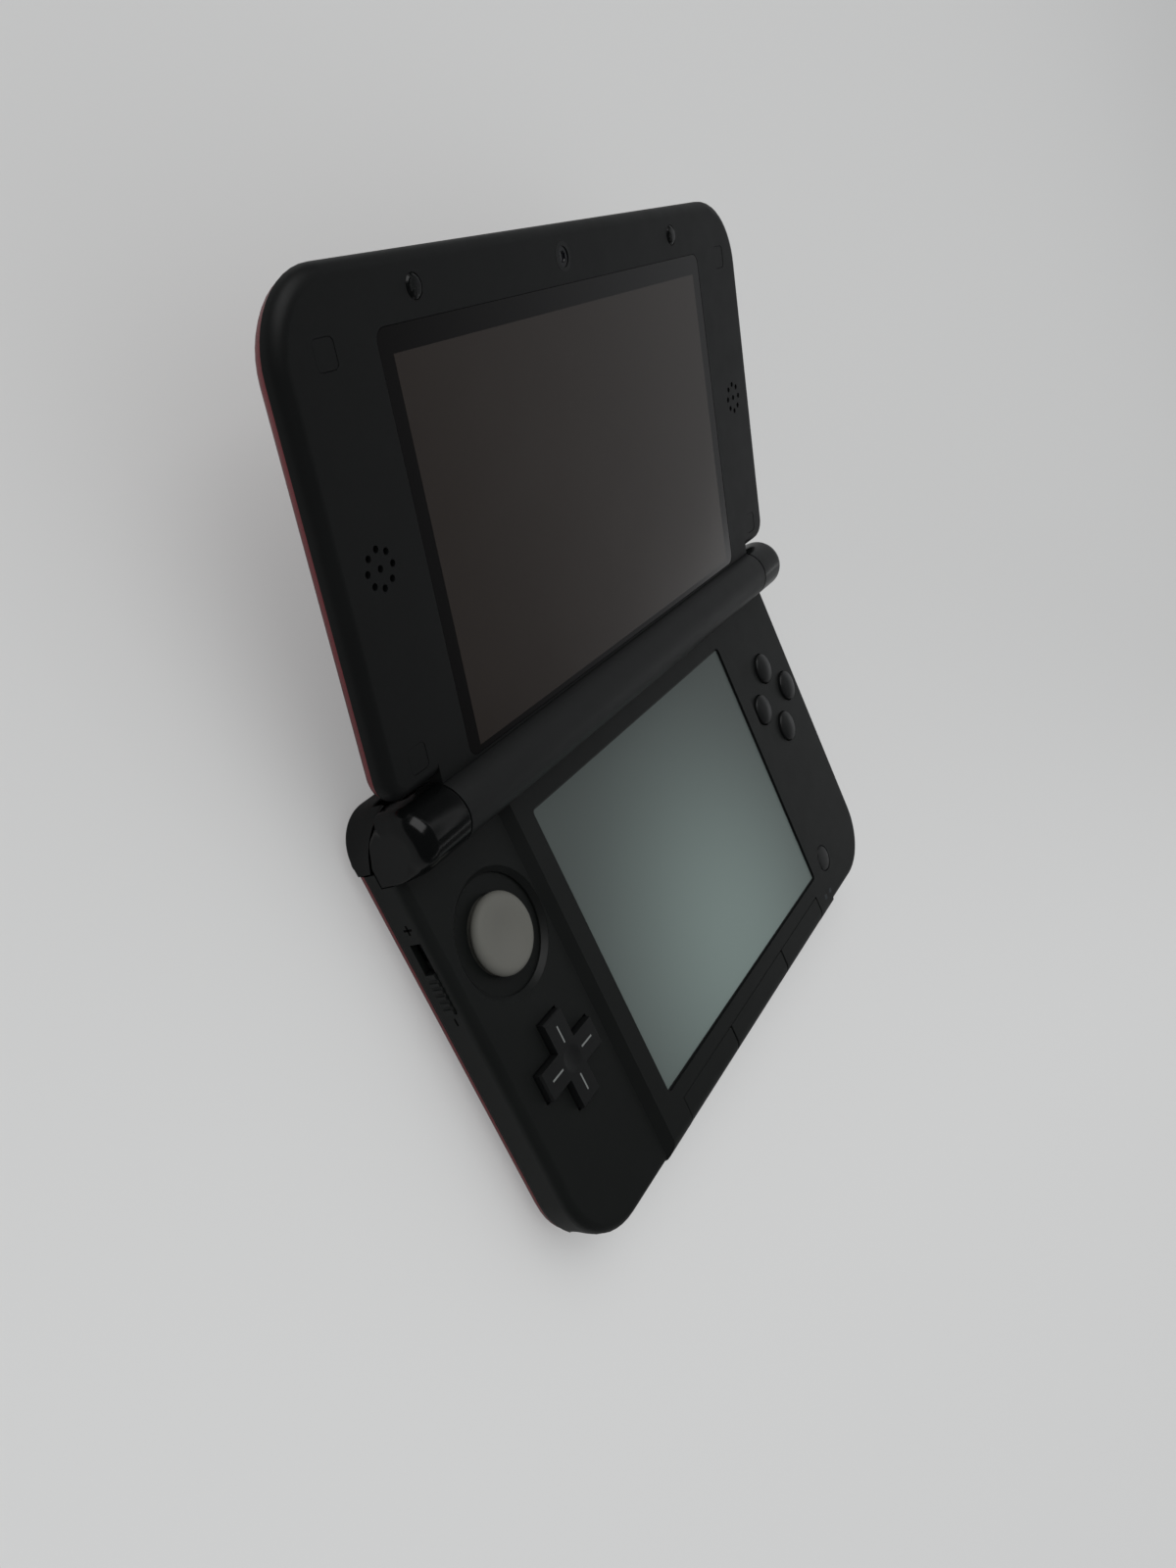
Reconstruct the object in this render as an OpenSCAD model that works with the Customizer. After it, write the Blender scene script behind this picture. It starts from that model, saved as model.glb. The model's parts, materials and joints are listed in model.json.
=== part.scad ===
// Clamshell handheld game console with two screens, open to its stop.
// The base lies flat: X runs along the hinge, Y from the front edge to the
// hinge and Z up from the middle of the underside.

/* [Case] */
// Width of the case along the hinge
case_w = 156; // [154:0.5:162]
// Depth of the base, front edge to shoulder buttons
case_d = 93; // [92:0.5:98]
// Height of the touch screen's face above the underside
base_h = 11.9; // [11.8:0.1:13.5]
// Thickness of the lid
lid_h = 7.6; // [7.5:0.1:9.5]
// Gap between the lid's face and the touch screen when closed
lid_gap = 1; // [1:0.1:1.6]
// Corner radius at the front of the base and the top of the lid
corner_r = 14; // [11:0.5:15]
// Corner radius at the rear of the base
rear_r = 8; // [6:0.5:9]
// Rolled edge of the deck
edge_r = 2; // [1:0.1:2.3]
// Rolled edge of the lid's black frame
lid_edge = 2.6; // [2:0.1:2.6]
// How far in from the sides the bottom cover's edge is rolled
cover_roll = 7; // [5:0.5:7.5]
// The same at the back, and the same for the lid's cover
cover_back = 3.4; // [3:0.1:4]
lid_roll = 9; // [7:0.5:9.5]
// Step in from the black frames to the coloured covers
cover_step = 0.3; // [0.2:0.05:0.4]
// Wall thickness of the shells
wall = 1.3; // [1.1:0.1:1.5]
// Height of the coloured bottom cover
seam_h = 4.1; // [4:0.05:4.3]
// Clearance round a piece that moves
play = 0.3; // [0.25:0.05:0.35]
// Clearance round a piece that is seated
seat = 0.05; // [0.03:0.01:0.08]

/* [Deck] */
// Drop from the touch screen's face to the control deck
deck_drop = 1; // [0.9:0.1:1.1]
// Rise of the screen platform above the touch screen's face
platform_rise = 0.5; // [0.4:0.05:0.55]
// Border of the platform beside the touch screen's window
platform_border = 4.85; // [4.4:0.05:5.8]
// Width of the sloped side of the platform
platform_slope = 2.2; // [1.5:0.1:2.4]
// Front edge to the middle of the touch screen
screen_front = 43.2; // [42.8:0.1:43.6]
// Side edge to the touch screen's window
touch_side = 35.35; // [35:0.05:36]
// Depth of the touch screen's window
touch_win_d = 64.6; // [63.6:0.1:65]
// Margin of the touch panel under the platform's lip
touch_margin = 1.9; // [1.5:0.1:2]
// Thickness of the touch panel
touch_t = 0.8; // [0.6:0.1:0.9]

/* [Controls] */
// Side edge to the middle of the slide pad and direction pad
pad_inset = 16; // [15.8:0.1:16.6]
// Slide pad: middle to the touch screen's middle
pad_up = 17.8; // [17.5:0.1:18.5]
// Slide pad: diameter
pad_dia = 15.2; // [14.6:0.1:16]
// Slide pad: travel each way
pad_travel = 2.4; // [1.6:0.1:2.5]
// Direction pad: middle to the touch screen's middle
dpad_down = 9.1; // [8.8:0.1:9.6]
// Direction pad: span of the cross
dpad_span = 18; // [17:0.2:19]
// Direction pad: width of an arm
dpad_arm = 5.6; // [5.2:0.1:6.2]
// Side edge to the middle of the four face buttons
cluster_inset = 16; // [15.8:0.1:17]
// Face buttons: middle to the touch screen's middle
cluster_up = 11; // [10:0.1:12]
// Face buttons: ring that their middles lie on
cluster_r = 8.2; // [7.9:0.1:8.5]
// Face buttons: diameter
face_dia = 7.5; // [7:0.1:7.8]
// Face buttons: travel
face_travel = 0.9; // [0.5:0.1:0.9]
// Power button: diameter
power_dia = 6.4; // [5.6:0.1:6.6]
// Function buttons: length of the row of three
strip_w = 78.6; // [76:0.2:80]
// Function buttons: depth from the front edge
strip_d = 7.2; // [6.6:0.1:7.4]
// Shoulder buttons: length along the back
shoulder_w = 26; // [23:0.5:26.4]
// Shoulder buttons: thickness of the band
shoulder_t = 3.2; // [2.8:0.1:3.4]
// Stylus: how far it reaches past the middle of the case
stylus_reach = 12; // [4:0.5:12]
// Stylus: diameter
stylus_dia = 4.4; // [4:0.1:4.6]
// Headphone socket: bore for a 3.5 mm plug
jack_dia = 3.6; // [3.55:0.05:3.7]

/* [Hinge] */
// Radius of the hinge barrel
barrel_r = 5.85; // [5.6:0.05:5.9]
// Back of the base to the hinge axis
hinge_inset = 6.94; // [6.8:0.02:7]
// Hinge axis above the touch screen's face
hinge_rise = 2.45; // [2.4:0.05:2.6]
// Angle between lid and base at the open stop
open_angle = 162.8; // [150:0.1:163]
// Length of the end knuckles, from the side edge
knuckle_w = 12.7; // [12:0.1:13.2]
// Diameter of the hinge pins
pin_dia = 5; // [4.4:0.1:5.4]

/* [Lid] */
// Hinge axis to the free edge
lid_reach = 85.6; // [85:0.1:86.2]
// Hinge axis to the middle of the upper screen
screen_reach = 39.45; // [39.3:0.05:39.6]
// Thickness of the black lid frame
frame_t = 2.8; // [2.7:0.1:3]
// Side edge to the upper window
upper_side = 21.5; // [21:0.1:22.5]
// Middle of the upper screen to the window's top edge
upper_win_up = 36; // [35.4:0.1:36.4]
// Black border of the upper window beside the picture
upper_border = 3.2; // [2.8:0.1:4]
// Height of the upper display's lit area
upper_lit_h = 64; // [63:0.1:65]
// Window thickness
window_t = 0.9; // [0.7:0.1:1]
// Depth slider: travel
slider_travel = 9.6; // [8:0.2:9.8]

/* [Hidden] */
$fn = 96;
hull_fn = 48;      // sides of the discs inside a hull
roll_steps = 6;    // steps round a rolled edge
over = 1;          // cut tools reach this far past a face

black = "#1d1f1e";
gloss = "#101112";
red = "#8e1522";
steel = "#b9bcc0";
rubber = "#2a2a2a";

// Main planes
side_x = case_w / 2;
front_y = -case_d / 2;
back_y = case_d / 2;
deck_z = base_h - deck_drop;
platform_z = base_h + platform_rise;
under_z = deck_z - wall;
screen_y = front_y + screen_front;
touch_win_w = case_w - 2 * touch_side;
platform_w = touch_win_w + 2 * platform_border;
upper_win_w = case_w - 2 * upper_side;
upper_lit_w = upper_win_w - 2 * upper_border;
stylus_len = side_x + stylus_reach;
hinge_y = back_y - hinge_inset;
hinge_z = base_h + hinge_rise;
trough_r = barrel_r + 0.4;
trough_z = hinge_z - trough_r;
trough_front = hinge_y - trough_r;
ledge_z = trough_z + 0.9;
seam_x = side_x - knuckle_w;      // gap between barrel and knuckles
rear_roof = trough_z - wall;
lip_r = edge_r + platform_z - deck_z;
board_z = deck_z - 4;             // top of the circuit board
board_t = 1;
cover_inner = wall + 1;
cover_drop = seam_h - 0.4;         // height of the bottom cover's rolled edge
foot_h = 0.3;
foot_r = 3;
foot_in = 0.5;

// Battery bay
battery_w = 66;
battery_d = 43;
battery_y = screen_y - 8.2;
bay_w = battery_w + 12;
bay_d = battery_d + 8;
bay_r = 3;
bay_open = [battery_w / 2 + 0.7, battery_d / 2 + 0.7];

// Screws
post_r = 2.6;
bore_r = 0.85;
screw_x = side_x - 14;
screw_y = front_y + 6.5;
rear_screw_x = side_x - 7;
rear_screw_y = trough_front - 2.8;
screws = [[screw_x, screw_y], [rear_screw_x, rear_screw_y]];
bay_screw = [bay_w / 2 - 2.7, battery_y + bay_d / 2 - 8];
feet = [[side_x - 18, front_y + 13], [side_x - 16, rear_screw_y]];

// Shoulder buttons
shoulder_y = hinge_y - 2.96;      // front end of the side part
shoulder_low = 2.3;
shoulder_floor = shoulder_low - play;
shoulder_rear_top = trough_z - 0.1;
shoulder_top = shoulder_rear_top + 3.2;
shoulder_turn = 3;
shoulder_gap = (shoulder_w - 2.4) * sin(shoulder_turn) + play;
shoulder_pin = [side_x - 1.9, shoulder_y + 1.9];
shoulder_pin_r = 0.8;
shoulder_rise = 0.5;              // the button's side part climbs to the rear
shoulder_front = 5.9;             // its height at the front end
side_part = 5.4;
block_x = side_x - 7.5;           // inner face of the hinge cover's block
block_front = hinge_y - barrel_r;
block_back = hinge_y + barrel_r;
block_low = base_h - 5.25;
block_round = 3.3;                // upper edge of its side face

// Controls
pad_x = -(side_x - pad_inset);
pad_y = screen_y + pad_up;
recess_r = pad_dia / 2 + pad_travel * sqrt(2) + 0.15;
recess_floor = deck_z - 1.5;
floor_t = 1;
neck_r = 4;
throat_r = neck_r + pad_travel * sqrt(2) + play / 3;
skirt_r = throat_r + pad_travel * sqrt(2) + 0.1;
skirt_z = recess_floor - floor_t - 0.35;
skirt_t = 0.65;
tongue = 4.8;
carriage_z = skirt_z - skirt_t - play;
carriage_t = 0.9;
carriage_w = 18;
carriage_d = 14;
tray_z = carriage_z - carriage_t - 0.9;
dpad_y = screen_y - dpad_down;
dpad_top = platform_z - 0.1;
dpad_flange_z = under_z - 0.9;
dpad_flange_t = 0.6;
dpad_flange_r = dpad_span / 2 + 1.4;
rocker_r = 2.6;
cluster_x = side_x - cluster_inset;
cluster_y = screen_y + cluster_up;
face_top = platform_z - 0.1;
face_flange_r = face_dia / 2 + 0.95;
power_x = platform_w / 2 + 5.7;
power_y = screen_y - 32;
strip_y = front_y + strip_d;
strip_z = platform_z - 2.6;       // underside of the function buttons
strip_travel = 0.4;
shelf_z = strip_z - strip_travel - 0.4;
split = 0.4;
split_x = 15;

// Side features
slot_z = base_h - 4.4;
slot_h = 2.6;
volume_y = screen_y + 19.05;
volume_len = 14;
volume_knob = 8;
volume_travel = 5.4;
switch_y = screen_y + 9;
switch_len = 6;
switch_knob = 3.4;
switch_travel = 2;
stylus_y = hinge_y - 16;
stylus_z = base_h - 6.6;
stylus_r = stylus_dia / 2;
sleeve_t = 0.8;
reader_w = 25.6;
reader_y = screen_y - 15.05;
reader_x = touch_win_w / 2 + 2.35;
flap_low = deck_z - 5.9;
flap_top = deck_z - edge_r - 0.1;
flap_t = 1.1;
jack_x = -(side_x - 5.8);
jack_y = front_y + 9;
jack_z = base_h - 5.5;
jack_scoop_r = 3.4;
card_x0 = -(seam_x - 16.4);
card_w = 34.6;
card_h = 4.2;
card_z = 2;
card_y = hinge_y - 24.6;
card_wall = 0.6;
port_in = 2.2;      // sockets stop this far short of the back
charge_x = 30;
charge_w = 12;
window_x = 9.5;
window_w = 11;

// Lid
lid_drop = hinge_rise - lid_gap;  // hinge axis below the lid's face
axis_v = -screen_reach;
lid_top = lid_reach - screen_reach;
lid_low = axis_v + barrel_r + 1.1;
lid_corner = 4.6;
lid_cavity = lid_h - wall;
barrel_half = seam_x - 0.15;
barrel_gap = 0.1;
web_x = barrel_half - 4;
web_low = 6;
web_in = 1.7;
hood_r = barrel_r + barrel_gap;
upper_win_low = axis_v + sqrt(hood_r * hood_r - lid_drop * lid_drop) + 0.5;
window_seat = window_t + 0.1;
display_t = 3;
speaker_x = side_x - 10.5;
speaker_v = 3.4;
grille_r = 3;
grille_hole = 0.6;
inner_cam_v = lid_top - 5.65;
outer_cam_x = 17.5;
outer_cam_v = upper_win_up + 2.1;
outer_cam_r = 2.4;
outer_cam_face = lid_h - 0.4;
bumper_x = 45;
bumper_r = 2;
cap_w = 4.6;
caps = [[side_x - 10, lid_top - 12], [side_x - 8.5, lid_low + 5.4]];
slider_v = -20.2;
slider_len = 6.3;
slider_cut = slider_len + slider_travel + 0.6;
slider_depth = 1.9;

/* Shared shapes */

// Flat outline with round corners: rf at the low y, rb at the high y
module outline(x, y0, y1, rf, rb) {
  polygon([[rf - x, y0], [x - rf, y0], [x, y0 + rf], [x, y1 - rb],
           [x - rb, y1], [rb - x, y1], [-x, y1 - rb], [-x, y0 + rf]]);
  for (s = [-1, 1]) {
    translate([s * (x - rf), y0 + rf]) circle(r = rf);
    translate([s * (x - rb), y1 - rb]) circle(r = rb);
  }
}

module plate(x, y0, y1, rf, rb, z0, z1) {
  translate([0, 0, z0]) linear_extrude(z1 - z0) outline(x, y0, y1, rf, rb);
}

// The same plate with its lower and upper edges rolled over. The lower roll can
// reach further in than it is high: in0 at the sides and the low y, in1 at the high y
module pillow(x, y0, y1, rf, rb, z0, z1, low, high, in0 = 0, in1 = 0) {
  step = 90 / roll_steps;
  hull()
    for (s = [-1, 1], c = [[y0, 1, rf, in0], [y1, -1, rb, in1]]) {
      disc_at(s, x, c, 0, 0, z0 + low, z1 - high - z0 - low);
      if (low > 0) for (a = [step : step : 90])
        disc_at(s, x, c, max(in0, low) * (1 - cos(a)), max(c[3], low) * (1 - cos(a)),
                z0 + low * (1 - sin(a)), low * (sin(a) - sin(a - step)));
      if (high > 0) for (a = [step : step : 90])
        disc_at(s, x, c, high * (1 - cos(a)), high * (1 - cos(a)),
                z1 - high * (1 - sin(a - step)), high * (sin(a) - sin(a - step)));
    }
}

// Corner disc of a rolled plate, inset by ix and iy
module disc_at(s, x, c, ix, iy, z, h) {
  r = max(c[2] - ix, 1);
  translate([s * (x - ix - r), c[0] + c[1] * (iy + r), z]) cylinder(r = r, h = h, $fn = hull_fn);
}

module box(x0, x1, y0, y1, z0, z1) {
  translate([x0, y0, z0]) cube([x1 - x0, y1 - y0, z1 - z0]);
}

// Profile in Y and Z, drawn out along X
module along_x(x0, x1) {
  translate([x0, 0, 0]) rotate([90, 0, 90]) linear_extrude(x1 - x0) children();
}

module rod_x(x0, x1, y, z, r) {
  translate([x0, y, z]) rotate([0, 90, 0]) cylinder(r = r, h = x1 - x0);
}

module on_side(s) {
  if (s > 0) children();
  else mirror([1, 0, 0]) children();
}

// Moves a piece from the lid's own plane to its place at the open stop
module lid_place() {
  translate([0, hinge_y, hinge_z]) rotate([180 - open_angle, 0, 0])
    translate([0, screen_reach, lid_drop]) children();
}

/* Base shells */

module base_outer(z0, z1, low, high) {
  pillow(side_x, front_y, back_y, corner_r, rear_r, z0, z1, low, high);
}

// Outside of the bottom cover, a step inside the black case
module cover_outer() {
  pillow(side_x - cover_step, front_y + cover_step, back_y - cover_step, corner_r - cover_step,
         rear_r - cover_step, 0, seam_h, cover_drop, 0, cover_roll, cover_back);
}

// Corner that the shoulder button moves in, seen from above
module shoulder_pocket(s) {
  on_side(s) {
    box(side_x - side_part - shoulder_gap + 0.6, side_x + over, back_y - shoulder_t - shoulder_gap,
        back_y + over, shoulder_floor, deck_z + over);
    box(side_x - shoulder_t - 0.9, side_x + over, shoulder_y - play, back_y + over,
        shoulder_floor, deck_z + over);
    box(side_x - shoulder_w - 0.7, side_x, back_y - shoulder_t - shoulder_gap, back_y + over,
        shoulder_floor, deck_z + over);
    box(side_x - side_part - 0.2, side_x, back_y - side_part - 0.5, back_y, shoulder_floor, deck_z + over);
  }
}

module bay(margin, z0, z1) {
  plate_at(0, battery_y, bay_w / 2 + margin, bay_d / 2 + margin, bay_r, z0, z1);
}

module plate_at(x, y, hx, hy, r, z0, z1) {
  translate([x, y, 0]) plate(hx, -hy, hy, r, r, z0, z1);
}

// Openings that pass through the walls of both base shells
module wall_cuts() {
  for (s = [-1, 1]) shoulder_pocket(s);
  box(card_x0, card_x0 + card_w, card_y, back_y - port_in, card_z - card_wall, card_z + card_h + card_wall);
  box(card_x0 + card_wall, card_x0 + card_w - card_wall, card_y, back_y + over, card_z, card_z + card_h);
  box(charge_x - charge_w / 2, charge_x + charge_w / 2, back_y - 9.5, back_y - port_in,
      card_z - card_wall, rear_roof - seat);
  box(charge_x - 4.7, charge_x + 4.7, back_y - 9.5, back_y + over, card_z + 0.1, card_z + 4.1);
  rod_x(side_x - 4, side_x + over, stylus_y, stylus_z, stylus_r + sleeve_t + seat);
  translate([jack_x, jack_y - 0.1, jack_z]) rotate([90, 0, 0]) cylinder(r = jack_scoop_r, h = 20);
}

module bottom_cover() {
  color(red) difference() {
    union() {
      intersection() {
        cover_outer();
        union() {
          difference() {
            box(-side_x, side_x, front_y, back_y, 0, seam_h);
            plate(side_x - cover_inner, front_y + cover_inner, back_y - cover_inner,
                  corner_r - cover_inner, rear_r - cover_inner, wall + 1, seam_h + over);
            plate(side_x - cover_inner - 2, front_y + cover_inner + 2, back_y - cover_inner,
                  corner_r - cover_inner - 2, rear_r - cover_inner - 2, wall, seam_h + over);
          }
          // wall round the shoulder pockets
          for (s = [-1, 1]) on_side(s) {
            box(side_x - shoulder_w - 0.7 - wall, side_x, back_y - shoulder_t - shoulder_gap - wall, back_y,
                wall / 2, seam_h);
            box(side_x - shoulder_t - 0.9 - wall, side_x, shoulder_y - play - wall, back_y, wall / 2, seam_h);
            box(side_x - side_part - wall, side_x, back_y - side_part - 0.5 - wall, back_y, wall / 2, seam_h);
          }
        }
      }
      bay(1.5, wall - 0.1, wall + 0.8);
      for (s = [-1, 1]) {
        for (p = screws) translate([s * p[0], p[1], 0]) cylinder(r = post_r + 0.5, h = seam_h - seat);
        translate([s * bay_screw[0], bay_screw[1], wall]) cylinder(r = 1.9, h = 2.6);
        translate([s * 44, screen_y - 26, wall / 2]) cylinder(r = 2, h = board_z - board_t - wall / 2);
        translate([s * 44, screen_y + 10, wall / 2]) cylinder(r = 2, h = board_z - board_t - wall / 2);
        translate([s * 66, screen_y - 12, wall / 2]) cylinder(r = 2, h = board_z - board_t - wall / 2);
      }
      // cradle under the stylus sleeve
      for (x = [0, 40])
        box(x, x + 1.5, stylus_y - 3, stylus_y + 3, wall / 2, stylus_z);
      // stand under the slide pad's housing
      plate_at(pad_x, pad_y, 5, 5, 1, wall / 2, tray_z - 0.7);
      // stand under the headphone socket
      box(jack_x - 2, jack_x + 2, jack_y + 1, jack_y + 10, wall / 2, jack_z - 2.9);
    }
    bay(0, -over, wall);
    plate_at(0, battery_y, bay_open[0], bay_open[1], 1, -over, seam_h + over);
    wall_cuts();
    rod_x(-20, side_x - 3, stylus_y, stylus_z, stylus_r + sleeve_t + seat);
    box(jack_x - 2.8 - seat, jack_x + 2.8 + seat, jack_y - seat, jack_y + 12 + seat, jack_z - 2.9, base_h);
    for (s = [-1, 1]) {
      for (p = screws) translate([s * p[0], p[1], -over]) {
        cylinder(r = bore_r + 0.2, h = 2 * base_h);
        cylinder(r = 2.2, h = over + 1.8);
      }
      translate([s * bay_screw[0], bay_screw[1], -over]) cylinder(r = bore_r, h = base_h);
      for (p = feet) translate([s * p[0], p[1], -over]) cylinder(r = foot_r, h = over + foot_in);
    }
  }
}

module battery_cover() {
  color(red) difference() {
    bay(-0.15, 0, wall - seat);
    for (s = [-1, 1]) translate([s * bay_screw[0], bay_screw[1], -over]) {
      cylinder(r = bore_r + 0.15, h = base_h);
      cylinder(r = 2, h = over + 0.9);
    }
    // finger notch at the front edge
    translate([0, battery_y - bay_d / 2 - 1, -over]) cylinder(r = 4, h = over + 0.5);
  }
}

// Countersunk cross-head screw, head down
module screw(head_r, head_h, shank_r, length) {
  difference() {
    union() {
      cylinder(r = head_r, h = head_h);
      cylinder(r = shank_r, h = length);
    }
    for (a = [0, 90]) rotate([0, 0, a]) translate([-head_r * 0.6, -0.2, -over])
      cube([head_r * 1.2, 0.4, over + head_h * 0.5]);
  }
}

module battery_cover_screws() {
  color(steel) for (s = [-1, 1]) translate([s * bay_screw[0], bay_screw[1], 0.05])
    screw(1.9, 0.8, bore_r - 0.03, 3.6);
}

module case_screws() {
  color(steel) for (s = [-1, 1], p = screws) translate([s * p[0], p[1], 0.5])
    screw(2.1, 1.3, bore_r - 0.03, under_z - 3);
}

module rubber_feet() {
  color(rubber) for (s = [-1, 1], p = feet) translate([s * p[0], p[1], -foot_h])
    rotate_extrude() polygon([[0, 0], [foot_r - 0.35, 0], [foot_r - seat, 0.3],
                              [foot_r - seat, foot_h + foot_in], [0, foot_h + foot_in]]);
}

// Raised part of the deck round the touch screen, with its rounded front lip
module platform() {
  intersection() {
    translate([0, trough_front + over, 0]) rotate([90, 0, 0])
      linear_extrude(trough_front + over - front_y)
        polygon([[-platform_w / 2, platform_z], [-platform_w / 2 - platform_slope, deck_z],
                 [-platform_w / 2 - platform_slope, deck_z - edge_r],
                 [platform_w / 2 + platform_slope, deck_z - edge_r],
                 [platform_w / 2 + platform_slope, deck_z], [platform_w / 2, platform_z]]);
    along_x(-side_x, side_x) {
      translate([front_y + lip_r, platform_z - lip_r]) circle(r = lip_r);
      translate([front_y + lip_r, 0]) square([case_d - lip_r, platform_z]);
    }
  }
}

module cross(span, arm, z0, z1) {
  translate([pad_x, dpad_y, z0]) {
    translate([-span / 2, -arm / 2, 0]) cube([span, arm, z1 - z0]);
    translate([-arm / 2, -span / 2, 0]) cube([arm, span, z1 - z0]);
  }
}

function face_at(i) = [cluster_x + cluster_r * cos(90 * i), cluster_y + cluster_r * sin(90 * i)];

module upper_case() {
  color(black) difference() {
    union() {
      difference() {
        union() {
          base_outer(seam_h, deck_z, 0.5, edge_r);
          platform();
        }
        // room for the boards and displays
        plate(side_x - wall, front_y + wall, trough_front - wall, corner_r - wall, 1,
              seam_h - over, under_z);
        plate(side_x - shoulder_w - 0.7 - wall, 0, back_y - wall, 1, 1, seam_h - over, rear_roof);
        box(-platform_w / 2 + wall, platform_w / 2 - wall, strip_y + wall,
            trough_front - wall, under_z - over, platform_z - wall);
        plate_at(0, screen_y, touch_win_w / 2 + touch_margin + seat,
                 touch_win_d / 2 + touch_margin + seat, 1, under_z, base_h);
      }
      // floor under the slide pad
      translate([pad_x, pad_y, recess_floor - floor_t]) cylinder(r = recess_r + 1, h = floor_t + 0.5);
      // shelf under the function buttons
      box(-strip_w / 2 - 1.5, strip_w / 2 + 1.5, front_y + wall / 2, strip_y + wall + 0.2,
          shelf_z - 1, shelf_z);
      box(-strip_w / 2 - 1.5, strip_w / 2 + 1.5, strip_y + 0.2, strip_y + wall + 0.2,
          shelf_z - 1, platform_z - wall / 2);
      for (s = [-1, 1], p = screws) translate([s * p[0], p[1], seam_h])
        cylinder(r = post_r, h = under_z - seam_h + 0.2);
    }
    // window of the touch screen
    plate_at(0, screen_y, touch_win_w / 2, touch_win_d / 2, 1.2, under_z, platform_z + over);
    // slide pad's dish and throat
    translate([pad_x, pad_y, recess_floor]) cylinder(r = recess_r, h = 10);
    translate([pad_x, pad_y, deck_z - 1]) cylinder(r1 = recess_r, r2 = recess_r + 1, h = 1);
    translate([pad_x, pad_y, deck_z - seat]) cylinder(r = recess_r + 1, h = over);
    translate([pad_x, pad_y, 0]) cylinder(r = throat_r, h = 20);
    cross(dpad_span + 0.8, dpad_arm + 0.8, under_z - over, platform_z + over);
    for (i = [0 : 3]) translate([face_at(i)[0], face_at(i)[1], under_z - over])
      cylinder(r = face_dia / 2 + 0.25, h = 10);
    translate([power_x, power_y, under_z - over]) cylinder(r = power_dia / 2 + 0.2, h = 10);
    box(-strip_w / 2 - 0.2, strip_w / 2 + 0.2, front_y - over, strip_y + 0.2, shelf_z, platform_z + over);
    // trough that the barrel turns in, open to the back
    rod_x(seat - block_x, block_x - seat, hinge_y, hinge_z, trough_r);
    box(seat - block_x, block_x - seat, hinge_y, back_y + over, ledge_z, 2 * base_h);
    wall_cuts();
    // seat of the hinge covers
    for (s = [-1, 1]) on_side(s) along_x(block_x - seat, side_x + over) cover_section(seat, 2 * base_h);
    // slots in the side walls
    box(-side_x - over, -side_x + 2, volume_y - volume_len / 2, volume_y + volume_len / 2,
        slot_z - slot_h / 2, slot_z + slot_h / 2);
    box(side_x - 2, side_x + over, switch_y - switch_len / 2, switch_y + switch_len / 2,
        slot_z - 1, slot_z + 1);
    box(side_x - 2, side_x + over, reader_y - reader_w / 2, reader_y + reader_w / 2,
        flap_low - play, flap_top + 0.15);
    // infrared window and indicator lights
    box(window_x - window_w / 2, window_x + window_w / 2, back_y - wall, back_y + over,
        seam_h + 0.4, ledge_z - 1.4);
    for (i = [0, 1]) translate([strip_w / 2 + 4.8 + 3.2 * i, front_y + 4.6, under_z - over])
      cylinder(r = 0.75, h = 10);
    for (s = [-1, 1], p = screws) translate([s * p[0], p[1], 0]) cylinder(r = bore_r, h = under_z - 1.5);
  }
}

// Side view of the hinge cover's block, up to z1: its underside climbs over the shoulder button
module cover_section(margin, z1) {
  dy = (block_low - shoulder_front - play - seat) / shoulder_rise;
  polygon([[block_front - margin, block_low - margin], [shoulder_y + dy, block_low - margin],
           [block_back + margin, block_low + (block_back - shoulder_y - dy) * shoulder_rise - margin],
           [block_back + margin, z1], [block_front - margin, z1]]);
}

// End knuckle that runs out to the case's side face
module hinge_cover(s) {
  on_side(s) color(gloss) difference() {
    intersection() {
      union() {
        rod_x(seam_x + 0.15, side_x + over, hinge_y, hinge_z, barrel_r);
        along_x(block_x, side_x + over) cover_section(0, hinge_z);
      }
      // side face, with its upper edge rounded
      translate([0, 200, 0]) rotate([90, 0, 0]) linear_extrude(400) {
        polygon([[0, 0], [side_x - seat, 0], [side_x - seat, hinge_z + barrel_r - block_round],
                 [side_x - seat - block_round, hinge_z + barrel_r], [0, hinge_z + barrel_r]]);
        translate([side_x - seat - block_round, hinge_z + barrel_r - block_round]) circle(r = block_round);
      }
    }
    rod_x(seam_x - over, seam_x + 5.15, hinge_y, hinge_z, pin_dia / 2 + seat / 2);
    translate([shoulder_pin[0], shoulder_pin[1], 0]) cylinder(r = shoulder_pin_r + seat, h = shoulder_top);
  }
}

module left_hinge_cover() {
  hinge_cover(-1);
}

module right_hinge_cover() {
  hinge_cover(1);
}

module hinge_pins() {
  color(steel) for (s = [-1, 1]) on_side(s)
    rod_x(seam_x - 8, seam_x + 5.1, hinge_y, hinge_z, pin_dia / 2);
}

/* Inside the base */

module touch_panel() {
  color("#6d7775") plate_at(0, screen_y, touch_win_w / 2 + touch_margin,
    touch_win_d / 2 + touch_margin, 1, base_h - touch_t, base_h);
}

module lower_display() {
  color("#3a3f40") difference() {
    plate_at(0, screen_y, touch_win_w / 2 + 1, touch_win_d / 2 + 1, 0.8,
             base_h - touch_t - 2.6, base_h - touch_t);
    plate_at(0, screen_y, touch_win_w / 2 - 3, touch_win_d / 2 - 3, 0.8, 0, base_h - touch_t - 2.3);
  }
}

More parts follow.
